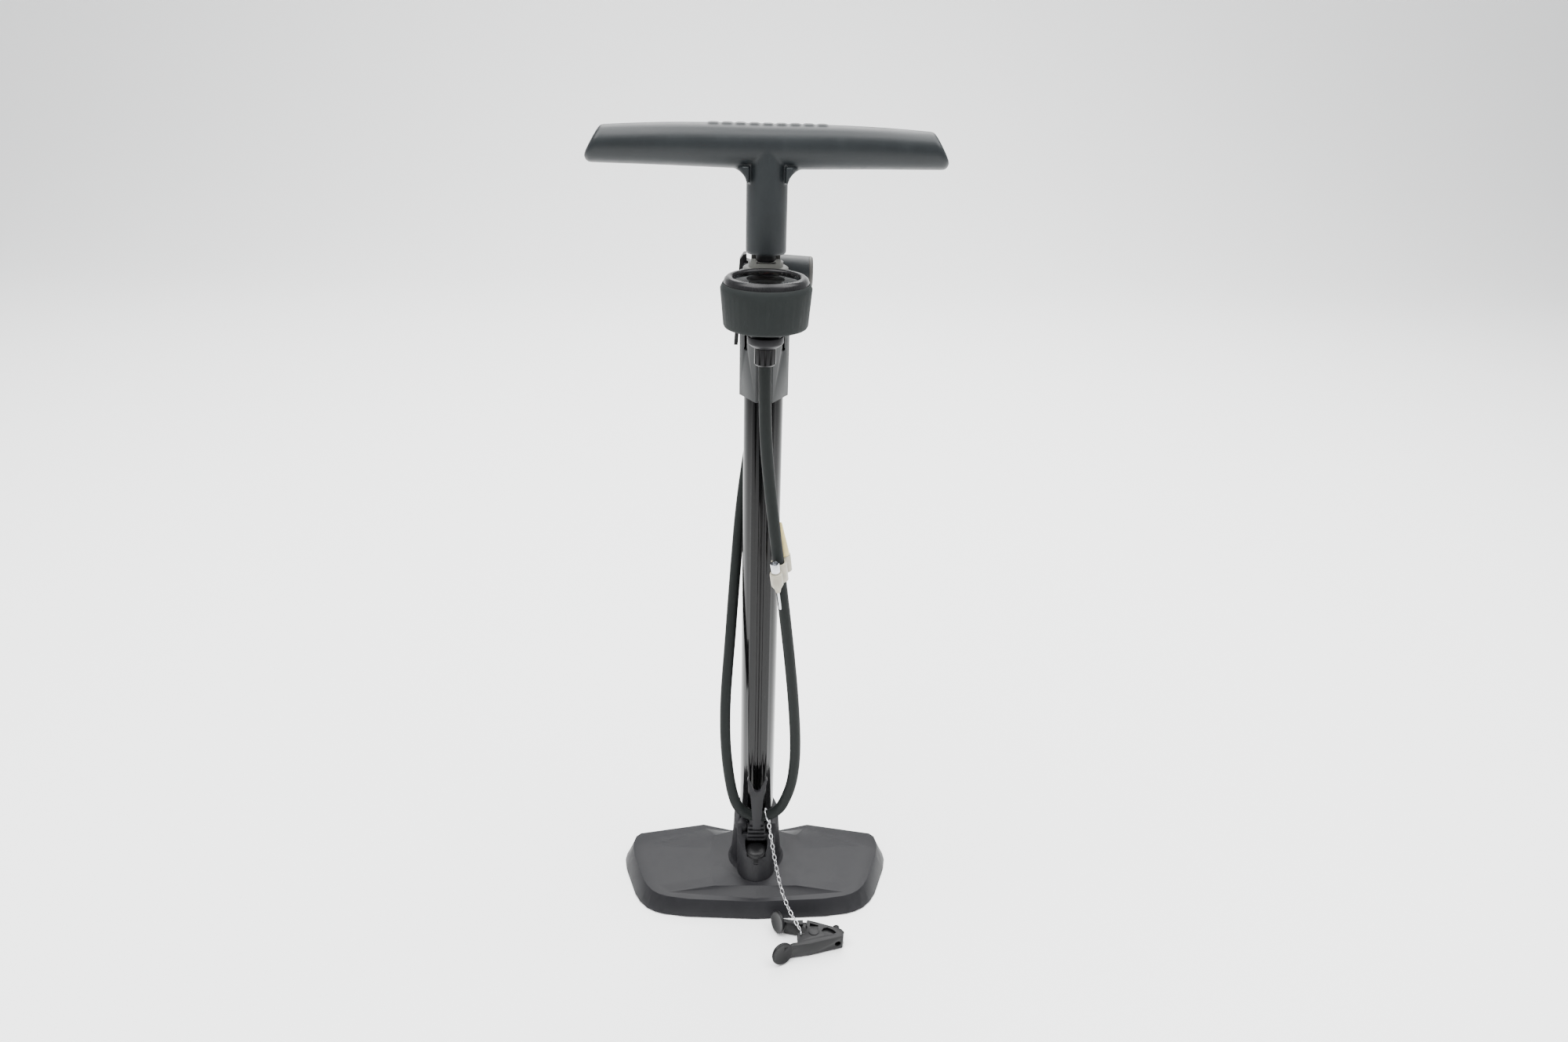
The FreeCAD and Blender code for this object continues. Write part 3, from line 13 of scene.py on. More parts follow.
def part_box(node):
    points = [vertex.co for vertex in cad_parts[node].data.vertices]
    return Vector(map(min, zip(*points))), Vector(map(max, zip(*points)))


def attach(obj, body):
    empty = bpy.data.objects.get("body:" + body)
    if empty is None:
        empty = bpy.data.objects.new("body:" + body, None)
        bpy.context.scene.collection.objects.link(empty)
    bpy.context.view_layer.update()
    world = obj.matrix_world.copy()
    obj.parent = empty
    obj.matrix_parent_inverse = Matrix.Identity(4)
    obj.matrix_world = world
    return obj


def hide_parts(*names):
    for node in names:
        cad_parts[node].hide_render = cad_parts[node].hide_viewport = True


bl_info = {
    "name": "Floor pump",
    "version": (1, 0, 0),
    "blender": (4, 5, 0),
    "location": "3D View > Sidebar > Pump",
    "description": "Builds the visible pieces of a bicycle floor pump around its moving frame",
    "category": "Add Mesh",
}

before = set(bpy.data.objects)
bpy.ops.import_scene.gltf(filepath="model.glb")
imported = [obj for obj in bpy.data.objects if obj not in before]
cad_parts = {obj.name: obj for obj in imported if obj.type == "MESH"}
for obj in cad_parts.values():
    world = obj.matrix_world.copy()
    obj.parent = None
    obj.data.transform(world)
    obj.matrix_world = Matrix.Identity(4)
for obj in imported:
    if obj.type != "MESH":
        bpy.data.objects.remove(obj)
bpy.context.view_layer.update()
MM = 0.001


def middle(node):
    """The middle of a frame node's box."""
    low, high = (Vector(corner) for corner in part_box(node))
    return (low + high) / 2


GAUGE = middle("gauge_case")
GAUGE_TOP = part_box("gauge_dial")[1][2]
TICK_RIM = 22.2 * MM
NUMBER_RING = 15.6 * MM
LINK_RADIUS = 1.45 * MM
LINK_TWIST = 32.0
CAMERA_PLACE = (-0.0113, -0.7791, 0.737)
CAMERA_ANGLES = (-2.2, 65.1, 1.56)


# ---------------------------------------------------------------- what a user can change
def colour(label, description, default):
    return FloatVectorProperty(
        name=label, description=description, default=default, size=3, min=0, max=1, subtype="COLOR")


def length(label, description, default):
    return FloatProperty(name=label, description=description, default=default, unit="LENGTH", precision=5)


class PumpColours(bpy.types.PropertyGroup):
    """Base colours of the pump's finishes."""

    grip: colour("Grip", "Handle, stem and pump head", (0.012, 0.0145, 0.016))
    foot: colour("Foot plate", "Foot plate, neck and hose hook", (0.0105, 0.0105, 0.012))
    collar: colour("Collar", "Collar round the barrel's top", (0.022, 0.0235, 0.024))
    cap: colour("Cap", "Castellated cap in the barrel's mouth", (0.085, 0.086, 0.079))
    boot: colour("Boot", "Rubber boot round the gauge", (0.012, 0.0145, 0.0142))
    barrel: colour("Barrel", "Lacquer on the barrel", (0.002, 0.002, 0.0022))
    hose: colour("Hose", "Rubber of the hose", (0.008, 0.010, 0.0095))
    dark: colour("Dark plastic", "Clip, valve cap, nut and bezel", (0.006, 0.006, 0.0065))
    dial: colour("Dial", "Printed dial of the gauge", (0.42, 0.385, 0.34))
    holder: colour("Holder", "Adapter holder on the hose", (0.38, 0.355, 0.28))
    nozzle: colour("Nozzle", "Cone nozzle", (0.66, 0.55, 0.24))


class PumpSizes(bpy.types.PropertyGroup):
    """Sizes of what is added to the frame."""

    hose_radius: length("Hose radius", "Radius of the hose", 4.7 * MM)
    chain_wire: length("Chain wire", "Radius of the chain's wire", 0.42 * MM)
    link_length: length("Link length", "Outer length of a chain link", 6.2 * MM)
    dial_ticks: IntProperty(name="Ticks", description="Tick marks on the dial", default=45, min=2)
    focal: length("Lens", "Focal length on a 36 mm wide sensor", 24.0 * MM)


def colours():
    return bpy.context.scene.pump_colours


def sizes():
    return bpy.context.scene.pump_sizes


# ---------------------------------------------------------------- materials
class Wire:
    """A shader socket that takes part in sums."""

    def __init__(self, finish, socket):
        self.finish, self.socket = finish, socket

    def _sum(self, operation, first, second):
        return self.finish.add("ShaderNodeMath", {"operation": operation}, {0: first, 1: second})

    def __add__(self, other):
        return self._sum("ADD", self, other)

    def __sub__(self, other):
        return self._sum("SUBTRACT", self, other)

    def __rsub__(self, other):
        return self._sum("SUBTRACT", other, self)

    def __mul__(self, other):
        return self._sum("MULTIPLY", self, other)

    __radd__ = __add__
    __rmul__ = __mul__


class Finish:
    """A material under construction."""

    def __init__(self, name):
        self.material = bpy.data.materials.new(name)
        self.material.use_nodes = True
        self.tree = self.material.node_tree
        self.tree.nodes.clear()
        self.place = self.add("ShaderNodeTexCoord", output="Object")

    def add(self, kind, settings=None, inputs=None, output=0):
        """A node with its settings made first, then its sockets filled; gives one output as a Wire."""
        node = self.tree.nodes.new(kind)
        for key, value in (settings or {}).items():
            if key == "stops":
                while len(node.color_ramp.elements) < len(value):
                    node.color_ramp.elements.new(0.5)
                for element, (position, shade) in zip(node.color_ramp.elements, value):
                    element.position = position
                    element.color = shade if len(shade) == 4 else (*shade, 1.0)
            else:
                setattr(node, key, value)
        for key, value in (inputs or {}).items():
            if isinstance(value, Wire):
                self.tree.links.new(value.socket, node.inputs[key])
            elif node.inputs[key].type == "RGBA" and len(value) == 3:
                node.inputs[key].default_value = (*value, 1.0)
            else:
                node.inputs[key].default_value = value
        return Wire(self, node.outputs[output])

    def noise(self, scale, detail=2.0, stretch=(1.0, 1.0, 1.0), rough=0.5):
        spot = self.add("ShaderNodeMapping", None, {"Vector": self.place, "Scale": stretch})
        return self.add("ShaderNodeTexNoise", None,
                        {"Vector": spot, "Scale": scale, "Detail": detail, "Roughness": rough}, "Fac")

    def ramp(self, value, low, high):
        """Zero below low, one above high."""
        return self.add("ShaderNodeMapRange", {"clamp": True},
                        {"Value": value, "From Min": low, "From Max": high})

    def mix(self, share, first, second):
        node = self.tree.nodes.new("ShaderNodeMix")
        node.data_type = "RGBA"
        for socket, value in ((node.inputs[0], share), (node.inputs[6], first), (node.inputs[7], second)):
            if isinstance(value, Wire):
                self.tree.links.new(value.socket, socket)
            elif socket.type == "RGBA":
                socket.default_value = (*value[:3], 1.0)
            else:
                socket.default_value = value
        return Wire(self, node.outputs[2])

    def bump(self, height, strength, distance, under=None):
        inputs = {"Height": height, "Strength": strength, "Distance": distance}
        if under:
            inputs["Normal"] = under
        return self.add("ShaderNodeBump", None, inputs, "Normal")

    def surface(self, **inputs):
        """The closing shader, with its sockets by name."""
        sockets = {key.replace("_", " "): value for key, value in inputs.items()}
        self.show(self.add("ShaderNodeBsdfPrincipled", None, sockets, "BSDF"))
        return self.material

    def show(self, shader):
        output = self.tree.nodes.new("ShaderNodeOutputMaterial")
        self.tree.links.new(shader.socket, output.inputs["Surface"])


def scaled(shade, factor):
    return tuple(min(1.0, channel * factor) for channel in shade)


def moulded(name, shade, rough=0.42, grain=0.05, dust=0.25, gloss=0.18):
    """Moulded plastic: fine spark-eroded grain, faint blotches, handling marks and a little dust."""
    f = Finish(name)
    grit = f.noise(2600.0, 2.0)
    blotch = f.noise(38.0, 3.0)
    rubbed = f.ramp(f.noise(120.0, 4.0, (1.0, 1.0, 0.35), 0.6), 0.52, 0.72)
    speck = f.ramp(f.noise(900.0, 3.0, rough=0.7), 0.66, 0.74)
    body = f.mix(f.ramp(blotch, 0.3, 0.7), scaled(shade, 0.88), scaled(shade, 1.12))
    body = f.mix(rubbed * 0.35, body, scaled(shade, 1.35))
    body = f.mix(speck * dust, body, scaled(shade, 3.0))
    normal = f.bump(grit, 0.35, grain * MM)
    wear = f.ramp(blotch, 0.2, 0.8) * 0.10 + rubbed * 0.06
    return f.surface(Base_Color=body, Roughness=wear + (rough - 0.05), Normal=normal,
                     Specular_IOR_Level=gloss)


def rubbery(name, shade, rough=0.72, grain=0.07):
    """Matte rubber: open grain, grey bloom and rubbed highlights."""
    f = Finish(name)
    grit = f.noise(1900.0, 3.0, rough=0.65)
    bloom = f.ramp(f.noise(55.0, 4.0, rough=0.6), 0.42, 0.75)
    scuff = f.ramp(f.noise(260.0, 5.0, (1.0, 1.0, 0.25), 0.65), 0.60, 0.78)
    body = f.mix(bloom * 0.5, scaled(shade, 0.86), scaled(shade, 1.3))
    body = f.mix(scuff * 0.3, body, scaled(shade, 2.0))
    return f.surface(Base_Color=body, Roughness=bloom * 0.08 - scuff * 0.10 + rough, Specular_IOR_Level=0.15,
                     Normal=f.bump(grit, 0.5, grain * MM))


def lacquered(name, shade):
    """Gloss lacquer over an extrusion: faint draw lines, slight orange peel and fine dust."""
    f = Finish(name)
    lines = f.noise(900.0, 2.0, (1.0, 1.0, 0.01))
    peel = f.noise(420.0, 2.0)
    dust = f.ramp(f.noise(1500.0, 4.0, rough=0.7), 0.68, 0.76)
    haze = f.noise(22.0, 4.0, (1.0, 1.0, 0.3))
    body = f.mix(dust * 0.20, f.mix(haze, shade, scaled(shade, 1.7)), (0.12, 0.12, 0.12))
    under = f.bump(lines, 0.12, 0.02 * MM)
    return f.surface(Base_Color=body, Roughness=haze * 0.10 + dust * 0.3 + 0.10,
                     Coat_Weight=0.22 - dust * 0.15, Specular_IOR_Level=0.15,
                     Coat_Roughness=0.06, Normal=f.bump(peel, 0.10, 0.03 * MM, under))


def metal(name, shade, rough=0.25, brushed=(1.0, 1.0, 0.02), tarnish=0.25):
    """Turned or drawn metal with brush lines and a little tarnish."""
    f = Finish(name)
    lines = f.noise(2400.0, 2.0, brushed)
    stain = f.ramp(f.noise(140.0, 5.0, rough=0.6), 0.5, 0.8)
    body = f.mix(stain * tarnish, shade, scaled(shade, 0.45))
    return f.surface(Base_Color=body, Metallic=1.0 - stain * 0.15,
                     Roughness=lines * 0.12 + stain * 0.18 + rough,
                     Normal=f.bump(lines, 0.15, 0.01 * MM))


def clear_lens(name):
    """Clear plastic that mirrors at a slant and carries a few hairline scratches."""
    f = Finish(name)
    scratch = f.ramp(f.noise(700.0, 2.0, (1.0, 0.04, 1.0)), 0.70, 0.74)
    facing = f.add("ShaderNodeLayerWeight", None, {"Blend": 0.28}, "Fresnel")
    glossy = f.add("ShaderNodeBsdfPrincipled", None, {
        "Base Color": (0.80, 0.83, 0.84), "Metallic": 1.0, "Roughness": 0.05,
        "Normal": f.bump(scratch, 0.2, 0.01 * MM)}, "BSDF")
    through = f.add("ShaderNodeBsdfTransparent", None, {"Color": (0.93, 0.94, 0.94)})
    mirrored = facing * 0.30 + scratch * 0.04 + 0.01
    f.show(f.add("ShaderNodeMixShader", None, {0: mirrored, 1: through, 2: glossy}))
    return f.material


def printed(name, shade):
    """Printed sheet metal: a satin coat with a faint fleck."""
    f = Finish(name)
    fleck = f.noise(1600.0, 3.0)
    wash = f.noise(60.0, 3.0)
    body = f.mix(f.ramp(wash, 0.3, 0.7), scaled(shade, 0.92), shade)
    return f.surface(Base_Color=body, Roughness=fleck * 0.12 + 0.30, Normal=f.bump(fleck, 0.1, 0.01 * MM))


def milky(name, shade, rough=0.38):
    """Unpigmented plastic that lets light in."""
    f = Finish(name)
    cloud = f.noise(160.0, 4.0)
    flow = f.noise(500.0, 2.0, (1.0, 1.0, 0.1))
    body = f.mix(f.ramp(cloud, 0.3, 0.75), scaled(shade, 0.82), scaled(shade, 1.08))
    return f.surface(Base_Color=body, Roughness=cloud * 0.16 + (rough - 0.08), Subsurface_Weight=0.35,
                     Subsurface_Radius=(0.004, 0.003, 0.002), Normal=f.bump(flow, 0.2, 0.03 * MM))


FINISHES = {}


def finish(name):
    """A named finish, made once."""
    if name in FINISHES:
        return FINISHES[name]
    c = colours()
    makers = {
        "grip": lambda: moulded("grip_plastic", c.grip, 0.40, 0.05, gloss=0.26),
        "foot": lambda: moulded("foot_plastic", c.foot, 0.44, 0.06),
        "collar": lambda: moulded("collar_plastic", c.collar, 0.42, 0.05),
        "cap": lambda: moulded("cap_plastic", c.cap, 0.38, 0.04),
        "boot": lambda: rubbery("boot_rubber", c.boot, 0.66),
        "seal": lambda: rubbery("seal_rubber", (0.02, 0.02, 0.021), 0.55),
        "foot_rubber": lambda: rubbery("foot_rubber", (0.03, 0.03, 0.03), 0.80),
        "barrel": lambda: lacquered("barrel_lacquer", c.barrel),
        "hose": lambda: rubbery("hose_rubber", c.hose, 0.62, 0.05),
        "dark": lambda: moulded("dark_plastic", c.dark, 0.36, 0.04),
        "bezel": lambda: moulded("bezel_plastic", scaled(c.dark, 1.5), 0.26, 0.02, dust=0.12),
        "pale": lambda: moulded("pale_plastic", (0.075, 0.074, 0.070), 0.42, 0.04),
        "slick": lambda: moulded("slick_plastic", (0.62, 0.61, 0.56), 0.35, 0.03),
        "steel": lambda: metal("drawn_steel", (0.56, 0.56, 0.57), 0.26),
        "chrome": lambda: metal("plated_steel", (0.55, 0.56, 0.58), 0.10, tarnish=0.3),
        "chain": lambda: metal("chain_steel", (0.42, 0.42, 0.43), 0.18, tarnish=0.4),
        "brass": lambda: metal("turned_brass", (0.76, 0.58, 0.28), 0.24, (0.05, 0.05, 1.0)),
        "lens": lambda: clear_lens("clear_lens"),
        "dial": lambda: printed("dial_coat", c.dial),
        "mark": lambda: printed("dial_ink", (0.02, 0.02, 0.022)),
        "pointer": lambda: printed("pointer_paint", (0.55, 0.03, 0.02)),
        "holder": lambda: milky("holder_plastic", c.holder),
        "nozzle": lambda: milky("nozzle_plastic", c.nozzle),
    }
    FINISHES[name] = makers[name]()
    return FINISHES[name]


# ---------------------------------------------------------------- ways to make a piece
def deselect():
    if bpy.context.object and bpy.context.object.mode != "OBJECT":
        bpy.ops.object.mode_set(mode="OBJECT")
    bpy.ops.object.select_all(action="DESELECT")


def only(piece):
    deselect()
    piece.select_set(True)
    bpy.context.view_layer.objects.active = piece


def settle(piece, name):
    """Names a new piece and moves its place into its mesh."""
    only(piece)
    bpy.ops.object.transform_apply(location=True, rotation=True, scale=True)
    piece.name = piece.data.name = name
    return piece


def dress(piece, look, body, nodes=()):
    """Gives a piece its finish and its body, and hides the frame nodes it stands for."""
    piece.data.materials.clear()
    piece.data.materials.append(finish(look))
    if nodes:
        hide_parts(*nodes)
    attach(piece, body)
    return piece


def apply_modifiers(piece):
    only(piece)
    for modifier in list(piece.modifiers):
        bpy.ops.object.modifier_apply(modifier=modifier.name)


def soften(piece, width, angle=34.0, segments=2):
    """Rounds the sharp edges and shades the rest smooth."""
    bevel = piece.modifiers.new("edges", "BEVEL")
    bevel.width, bevel.segments = width, segments
    bevel.limit_method, bevel.angle_limit = "ANGLE", math.radians(angle)
    bevel.use_clamp_overlap = True
    apply_modifiers(piece)
    bpy.ops.object.shade_smooth_by_angle(angle=math.radians(angle))
    return piece


def copy_of(node, name):
    """A merged copy of a frame node's mesh."""
    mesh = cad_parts[node].data.copy()
    piece = bpy.data.objects.new(name, mesh)
    bpy.context.scene.collection.objects.link(piece)
    mesh.name = name
    only(piece)
    bpy.ops.mesh.customdata_custom_splitnormals_clear()
    bpy.ops.object.mode_set(mode="EDIT")
    bpy.ops.mesh.select_all(action="SELECT")
    bpy.ops.mesh.remove_doubles(threshold=0.002 * MM)
    bpy.ops.mesh.dissolve_limited(angle_limit=math.radians(0.8))
    bpy.ops.object.mode_set(mode="OBJECT")
    return piece


def refined(node, name, look, body="pump_body", *, width):
    """A frame node's shape with rounded edges."""
    piece = copy_of(node, name)
    soften(piece, width)
    return dress(piece, look, body, (node,))


def keep(look, *nodes):
    """Frame nodes whose shape stays, with a finish."""
    for node in nodes:
        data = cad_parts[node].data
        data.materials.clear()
        data.materials.append(finish(look))


# ---------------------------------------------------------------- cords
HOSE_ROUTE = [
    (0.0, -48.0, 521.5), (0.6, -48.0, 476.0), (4.6, -45.0, 430.0), (12.4, -41.5, 366.0),
    (21.0, -37.8, 300.0), (29.0, -35.0, 230.0), (33.4, -31.5, 169.0), (31.5, -29.0, 132.0),
    (26.3, -27.2, 111.5), (20.3, -26.3, 97.0), (9.4, -25.4, 88.9), (-5.0, -25.2, 88.9),
    (-16.7, -24.8, 97.2), (-21.8, -24.0, 111.0), (-25.5, -22.6, 132.0), (-28.9, -19.5, 164.0),
    (-29.3, -15.0, 208.0), (-25.4, -6.0, 262.0), (-21.5, 6.5, 322.0), (-16.8, 20.0, 384.0),
    (-8.6, 29.5, 442.0), (1.0, 33.0, 494.0), (2.0, 33.0, 546.0),
]
CHAIN_ROUTE = [
    (11.0, -33.2, 87.0), (13.4, -36.0, 73.0), (15.6, -39.6, 60.0), (18.3, -45.6, 47.5),
    (21.4, -53.5, 36.5), (25.2, -62.0, 27.5), (29.4, -70.6, 22.0), (33.8, -79.4, 19.2),
    (39.7, -90.0, 15.9),
]


def route_curve(name, route, radius):
    curve = bpy.data.curves.new(name, "CURVE")
    curve.dimensions = "3D"
    curve.resolution_u = 12
    curve.bevel_depth = radius
    curve.bevel_resolution = 6
    curve.use_fill_caps = True
    spline = curve.splines.new("NURBS")
    spline.points.add(len(route) - 1)
    for spot, place in zip(spline.points, route):
        spot.co = (*(Vector(place) * MM), 1.0)
    spline.order_u = 3
    spline.use_endpoint_u = True
    piece = bpy.data.objects.new(name, curve)
    bpy.context.scene.collection.objects.link(piece)
    return piece


def route_points(name, route):
    """Points along a route's smooth line."""
    piece = route_curve(name, route, 0.0)
    bpy.context.view_layer.update()
    mesh = bpy.data.meshes.new_from_object(piece)
    points = [vertex.co.copy() for vertex in mesh.vertices]
    bpy.data.meshes.remove(mesh)
    bpy.data.objects.remove(piece)
    return points


def line_length(points):
    return sum((b - a).length for a, b in zip(points, points[1:]))


def walk(points, pitch):
    """Evenly spaced (place, direction) pairs along a line."""
    stations, travelled, due = [], 0.0, pitch / 2
    for a, b in zip(points, points[1:]):
        step = (b - a).length
        while travelled + step >= due:
            stations.append((a + (b - a) * ((due - travelled) / step), (b - a).normalized()))
            due += pitch
        travelled += step
    return stations


# ---------------------------------------------------------------- the pieces
class PumpOperator:
    """What every pump operator shares."""

    bl_options = {"REGISTER", "UNDO"}


class PUMP_OT_base(PumpOperator, bpy.types.Operator):
    """Foot plate with its neck, hose hook and valve cap"""

    bl_idname = "pump.base"
    bl_label = "Foot plate"

    def execute(self, context):
        refined("base", "foot_plate", "foot", width=1.1 * MM)
        refined("hose_hook", "hook_moulding", "foot", width=0.5 * MM)
        refined("valve_cap", "valve_cap_moulding", "dark", width=0.5 * MM)
        keep("foot_rubber", "base_feet", "centre_foot")
        return {"FINISHED"}


class PUMP_OT_barrel(PumpOperator, bpy.types.Operator):
    """Barrel, piston and rod"""

    bl_idname = "pump.barrel"
    bl_label = "Barrel"

    def execute(self, context):
        refined("barrel", "barrel_tube", "barrel", width=0.25 * MM)
        keep("chrome", "piston_rod")
        keep("slick", "piston_head", "rod_bushing")
        keep("steel", "piston_nut", "barrel_bolt", "check_valve_spring")
        keep("seal", "piston_seal", "plug_seal", "cap_seal", "valve_cap_seal", "check_valve_disc",
             "rod_bumper")
        keep("dark", "barrel_plug")
        return {"FINISHED"}


class PUMP_OT_collar(PumpOperator, bpy.types.Operator):
    """Collar and the castellated cap"""

    bl_idname = "pump.collar"
    bl_label = "Collar"

    def execute(self, context):
        refined("collar", "collar_moulding", "collar", width=0.8 * MM)
        refined("top_cap", "cap_moulding", "cap", width=0.6 * MM)
        return {"FINISHED"}


class PUMP_OT_handle(PumpOperator, bpy.types.Operator):
    """T handle with its stem"""

    bl_idname = "pump.handle"
    bl_label = "Handle"

    def execute(self, context):
        piece = copy_of("handle", "handle_moulding")
        remesh = piece.modifiers.new("skin", "REMESH")
        remesh.mode, remesh.voxel_size = "VOXEL", 0.9 * MM
        smooth = piece.modifiers.new("smooth", "SMOOTH")
        smooth.factor, smooth.iterations = 0.5, 4
        apply_modifiers(piece)
        bpy.ops.object.shade_smooth()
        dress(piece, "grip", "handle_set", ("handle",))
        keep("brass", "handle_insert")
        return {"FINISHED"}


class PUMP_OT_gauge(PumpOperator, bpy.types.Operator):
    """Gauge with its boot, bezel, lens, dial and pointer"""

    bl_idname = "pump.gauge"
    bl_label = "Gauge"

    def execute(self, context):
        refined("gauge_boot", "boot_moulding", "boot", width=0.5 * MM)
        refined("gauge_bezel", "bezel_ring", "bezel", width=0.35 * MM)
        refined("gauge_manifold", "manifold_moulding", "foot", width=0.5 * MM)
        refined("gauge_pointer", "pointer_hand", "pointer", "pointer", width=0.1 * MM)
        keep("lens", "gauge_lens")
        keep("dial", "gauge_dial")
        keep("dark", "gauge_case")
        keep("brass", "gauge_socket", "bourdon_tube", "gauge_frame", "gauge_sector")
        keep("steel", "pointer_arbor")
        self.ticks()
        self.numbers()
        return {"FINISHED"}

    def ticks(self):
        """Tick marks round three quarters of the dial."""
        count, sweep = sizes().dial_ticks, math.radians(270)
        marks = []
        for k in range(count + 1):
            angle = math.radians(225) - sweep * k / count
            major = k % 4 == 0
            reach = (3.4 if major else 1.9) * MM
            deselect()
            bpy.ops.mesh.primitive_cube_add(size=1.0, location=(0, 0, 0))
            mark = bpy.context.object
            mark.scale = (reach, (0.6 if major else 0.3) * MM, 0.08 * MM)
            mark.rotation_euler = (0, 0, angle)
            radius = TICK_RIM - reach / 2
            mark.location = (GAUGE.x + radius * math.cos(angle), GAUGE.y + radius * math.sin(angle),
                             GAUGE_TOP + 0.04 * MM)
            marks.append(settle(mark, f"tick_{k}"))
        dress(join(marks, "dial_ticks"), "mark", "pump_body")

    def numbers(self):
        """Plain pressure numbers inside the ticks."""
        digits = []
        top, sweep = 12, math.radians(270)
        for k in range(top):
            angle = math.radians(225) - sweep * k / (top - 0.75)
            deselect()
            bpy.ops.object.text_add(location=(0, 0, 0))
            text = bpy.context.object
            text.data.body = str(k)
            text.data.size = 4.4 * MM
            text.data.align_x, text.data.align_y = "CENTER", "CENTER"
            text.data.extrude = 0.04 * MM
            bpy.ops.object.convert(target="MESH")
            text = bpy.context.object
            text.location = (GAUGE.x + NUMBER_RING * math.cos(angle), GAUGE.y + NUMBER_RING * math.sin(angle),
                             GAUGE_TOP + 0.05 * MM)
            digits.append(settle(text, f"number_{k}"))
        dress(join(digits, "dial_numbers"), "mark", "pump_body")


def join(pieces, name):
    """Several meshes made one."""
    deselect()
    for piece in pieces:
        piece.select_set(True)
    bpy.context.view_layer.objects.active = pieces[0]
    bpy.ops.object.join()
    whole = bpy.context.object
    whole.name = whole.data.name = name
    return whole


class PUMP_OT_hose(PumpOperator, bpy.types.Operator):
    """Hose with its nut"""

    bl_idname = "pump.hose"
    bl_label = "Hose"

    def execute(self, context):
        radius = sizes().hose_radius
        hose = route_curve("hose_line", HOSE_ROUTE, radius)
        dress(hose, "hose", "pump_body", ("hose",))
        measured = line_length(route_points("hose_measure", HOSE_ROUTE))
        refined("hose_nut", "nut_moulding", "dark", width=0.25 * MM)
        keep("brass", "hose_tail")
        return {"FINISHED"}


class PUMP_OT_head(PumpOperator, bpy.types.Operator):
    """Pump head in its clip behind the collar"""

    bl_idname = "pump.head"
    bl_label = "Pump head"

    def execute(self, context):
        refined("head_body", "head_moulding", "grip", width=0.2 * MM)
        refined("head_lever", "lever_moulding", "dark", "lever", width=0.25 * MM)
        refined("head_nose", "nose_cap", "pale", width=0.4 * MM)
        refined("head_ferrule", "ferrule", "dark", width=0.4 * MM)
        refined("head_clip", "clip_bracket", "collar", width=0.4 * MM)
        keep("steel", "head_lever_pin")
        keep("slick", "head_plunger")
        keep("seal", "head_gasket")
        return {"FINISHED"}


class PUMP_OT_adapters(PumpOperator, bpy.types.Operator):
    """Adapter holder with the ball needle and the cone nozzle"""

    bl_idname = "pump.adapters"
    bl_label = "Adapters"

    def execute(self, context):
        refined("adapter_holder", "holder_moulding", "holder", width=0.3 * MM)
        refined("ball_needle", "needle", "chrome", "needle", width=0.15 * MM)
        refined("cone_nozzle", "cone", "nozzle", "cone", width=0.25 * MM)
        return {"FINISHED"}


class PUMP_OT_chain(PumpOperator, bpy.types.Operator):
    """Chain with its rings and the spring clip"""

    bl_idname = "pump.chain"
    bl_label = "Chain and clip"

    def execute(self, context):
        keep("chrome", "hose_ring", "chain_end_ring")
        refined("clip_body", "clip_front", "dark", width=0.4 * MM)
        refined("clip_lever", "clip_rear", "dark", "clip_arm", width=0.4 * MM)
        keep("steel", "clip_pin", "clip_spring")
        self.links()
        return {"FINISHED"}

    def links(self):
        """Oval links, twisted to one side and the other in turn."""
        wire, reach = sizes().chain_wire, sizes().link_length
        points = route_points("chain_measure", CHAIN_ROUTE)
        length_of_line = line_length(points)
        pitch = length_of_line / round(length_of_line / (reach - 2.4 * wire))
        links = []
        for k, (place, along) in enumerate(walk(points, pitch)):
            deselect()
            bpy.ops.mesh.primitive_torus_add(
                major_radius=LINK_RADIUS, minor_radius=wire, major_segments=20, minor_segments=8)
            link = bpy.context.object
            bpy.ops.object.mode_set(mode="EDIT")
            bpy.ops.mesh.select_all(action="SELECT")
            stretch = (reach / 2 - wire) / LINK_RADIUS
            bpy.ops.transform.resize(value=(stretch, 1.0, 1.0), center_override=(0, 0, 0))
            bpy.ops.object.mode_set(mode="OBJECT")
            twist = math.radians(LINK_TWIST if k % 2 == 0 else -LINK_TWIST)
            turn = along.to_track_quat("X", "Z").to_matrix() @ Matrix.Rotation(twist, 3, "X")
            link.matrix_world = Matrix.Translation(place) @ turn.to_4x4()
            links.append(settle(link, f"link_{k}"))
        chain = join(links, "chain_links")
        bpy.ops.object.shade_smooth()
        dress(chain, "chain", "pump_body", ("chain",))


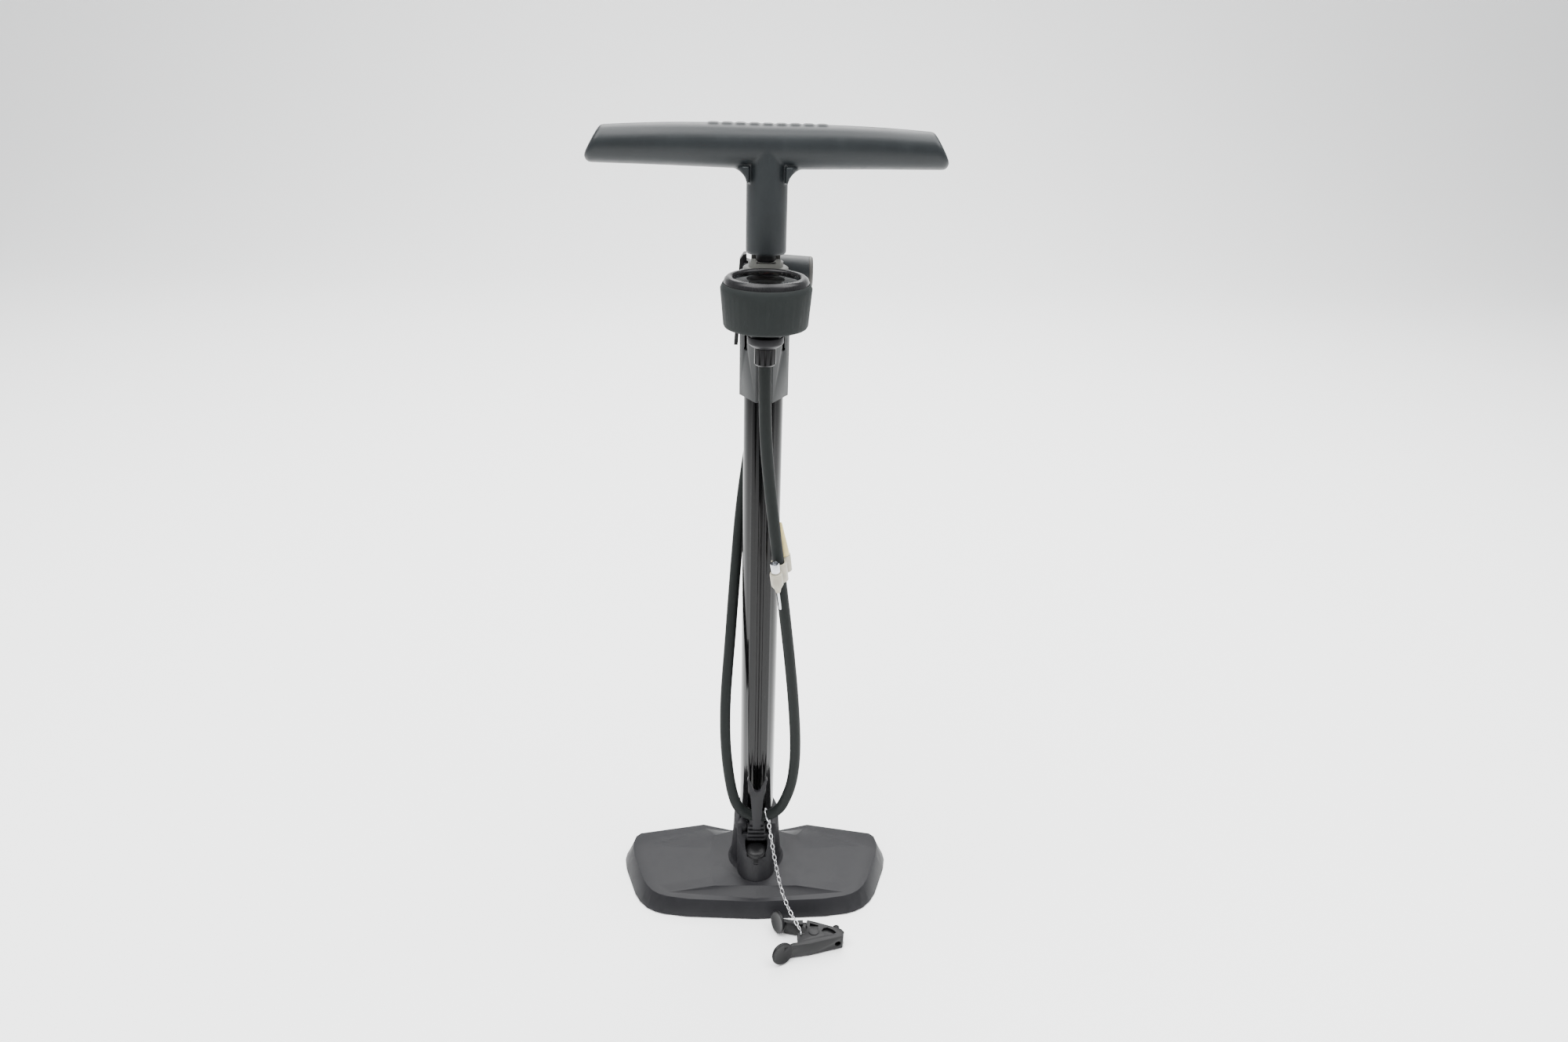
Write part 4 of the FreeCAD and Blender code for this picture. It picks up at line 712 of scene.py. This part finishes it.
class PUMP_OT_stage(PumpOperator, bpy.types.Operator):
    """Floor, light and camera"""

    bl_idname = "pump.stage"
    bl_label = "Stage"

    def execute(self, context):
        deselect()
        bpy.ops.mesh.primitive_grid_add(x_subdivisions=2, y_subdivisions=96, size=12.0, location=(0, 0, 0))
        floor = bpy.context.object
        floor.name = "floor"
        start, bend = 2.6, 1.6
        for vertex in floor.data.vertices:
            past = vertex.co.y - start
            if past > 0:
                turned = min(past / bend, math.pi / 2)
                vertex.co.y = start + bend * math.sin(turned)
                vertex.co.z = bend * (1 - math.cos(turned)) + max(0.0, past - bend * math.pi / 2)
        bpy.ops.object.shade_smooth()
        f = Finish("pale_floor")
        tone = f.noise(3.0, 2.0)
        shade = f.mix(tone, (0.93, 0.935, 0.93), (0.95, 0.955, 0.95))
        floor.data.materials.append(f.surface(Base_Color=shade, Roughness=0.7))
        self.light("key", (-1.0, -0.6, 2.9), 2.2, 160.0)
        self.light("fill", (1.3, -0.2, 2.8), 2.0, 120.0)
        self.light("back", (0.1, 1.9, 3.0), 2.6, 190.0)
        world = bpy.data.worlds.new("studio")
        world.use_nodes = True
        background = world.node_tree.nodes["Background"]
        background.inputs["Color"].default_value = (0.97, 0.98, 1.0, 1.0)
        background.inputs["Strength"].default_value = 0.8
        context.scene.world = world
        self.camera()
        return {"FINISHED"}

    def light(self, name, place, size, power):
        lamp = bpy.data.lights.new(name, "AREA")
        lamp.size, lamp.energy = size, power
        holder = bpy.data.objects.new(name, lamp)
        holder.location = place
        aim = Vector((0, 0, 0.35)) - Vector(place)
        holder.rotation_euler = aim.to_track_quat("-Z", "Y").to_euler()
        bpy.context.scene.collection.objects.link(holder)

    def camera(self):
        lens = bpy.data.cameras.new("camera")
        lens.lens = sizes().focal / MM
        lens.sensor_width = 36.0
        lens.clip_start = 0.01
        holder = bpy.data.objects.new("camera", lens)
        heading, pitch, roll = (math.radians(angle) for angle in CAMERA_ANGLES)
        turn = Matrix.Rotation(heading, 4, "Z") @ Matrix.Rotation(pitch, 4, "X")
        turn = turn @ Matrix.Rotation(roll, 4, "Z")
        holder.matrix_world = Matrix.Translation(CAMERA_PLACE) @ turn
        bpy.context.scene.collection.objects.link(holder)
        bpy.context.scene.camera = holder


OPERATORS = (
    PUMP_OT_base, PUMP_OT_barrel, PUMP_OT_collar, PUMP_OT_handle, PUMP_OT_gauge, PUMP_OT_hose,
    PUMP_OT_head, PUMP_OT_adapters, PUMP_OT_chain, PUMP_OT_stage,
)


class PUMP_PT_panel(bpy.types.Panel):
    """Lists the pump's sizes, colours and builders"""

    bl_label = "Floor pump"
    bl_idname = "PUMP_PT_panel"
    bl_space_type = "VIEW_3D"
    bl_region_type = "UI"
    bl_category = "Pump"

    def draw(self, context):
        for group in (context.scene.pump_sizes, context.scene.pump_colours):
            for key in type(group).__annotations__:
                self.layout.prop(group, key)
        for operator in OPERATORS:
            self.layout.operator(operator.bl_idname)


CLASSES = (PumpColours, PumpSizes, *OPERATORS, PUMP_PT_panel)


def register():
    for each in CLASSES:
        bpy.utils.register_class(each)
    bpy.types.Scene.pump_colours = PointerProperty(type=PumpColours)
    bpy.types.Scene.pump_sizes = PointerProperty(type=PumpSizes)


def unregister():
    del bpy.types.Scene.pump_sizes
    del bpy.types.Scene.pump_colours
    for each in reversed(CLASSES):
        bpy.utils.unregister_class(each)


def main():
    register()
    for operator in OPERATORS:
        getattr(bpy.ops.pump, operator.bl_idname.split(".")[1])()


if __name__ == "__main__":
    main()
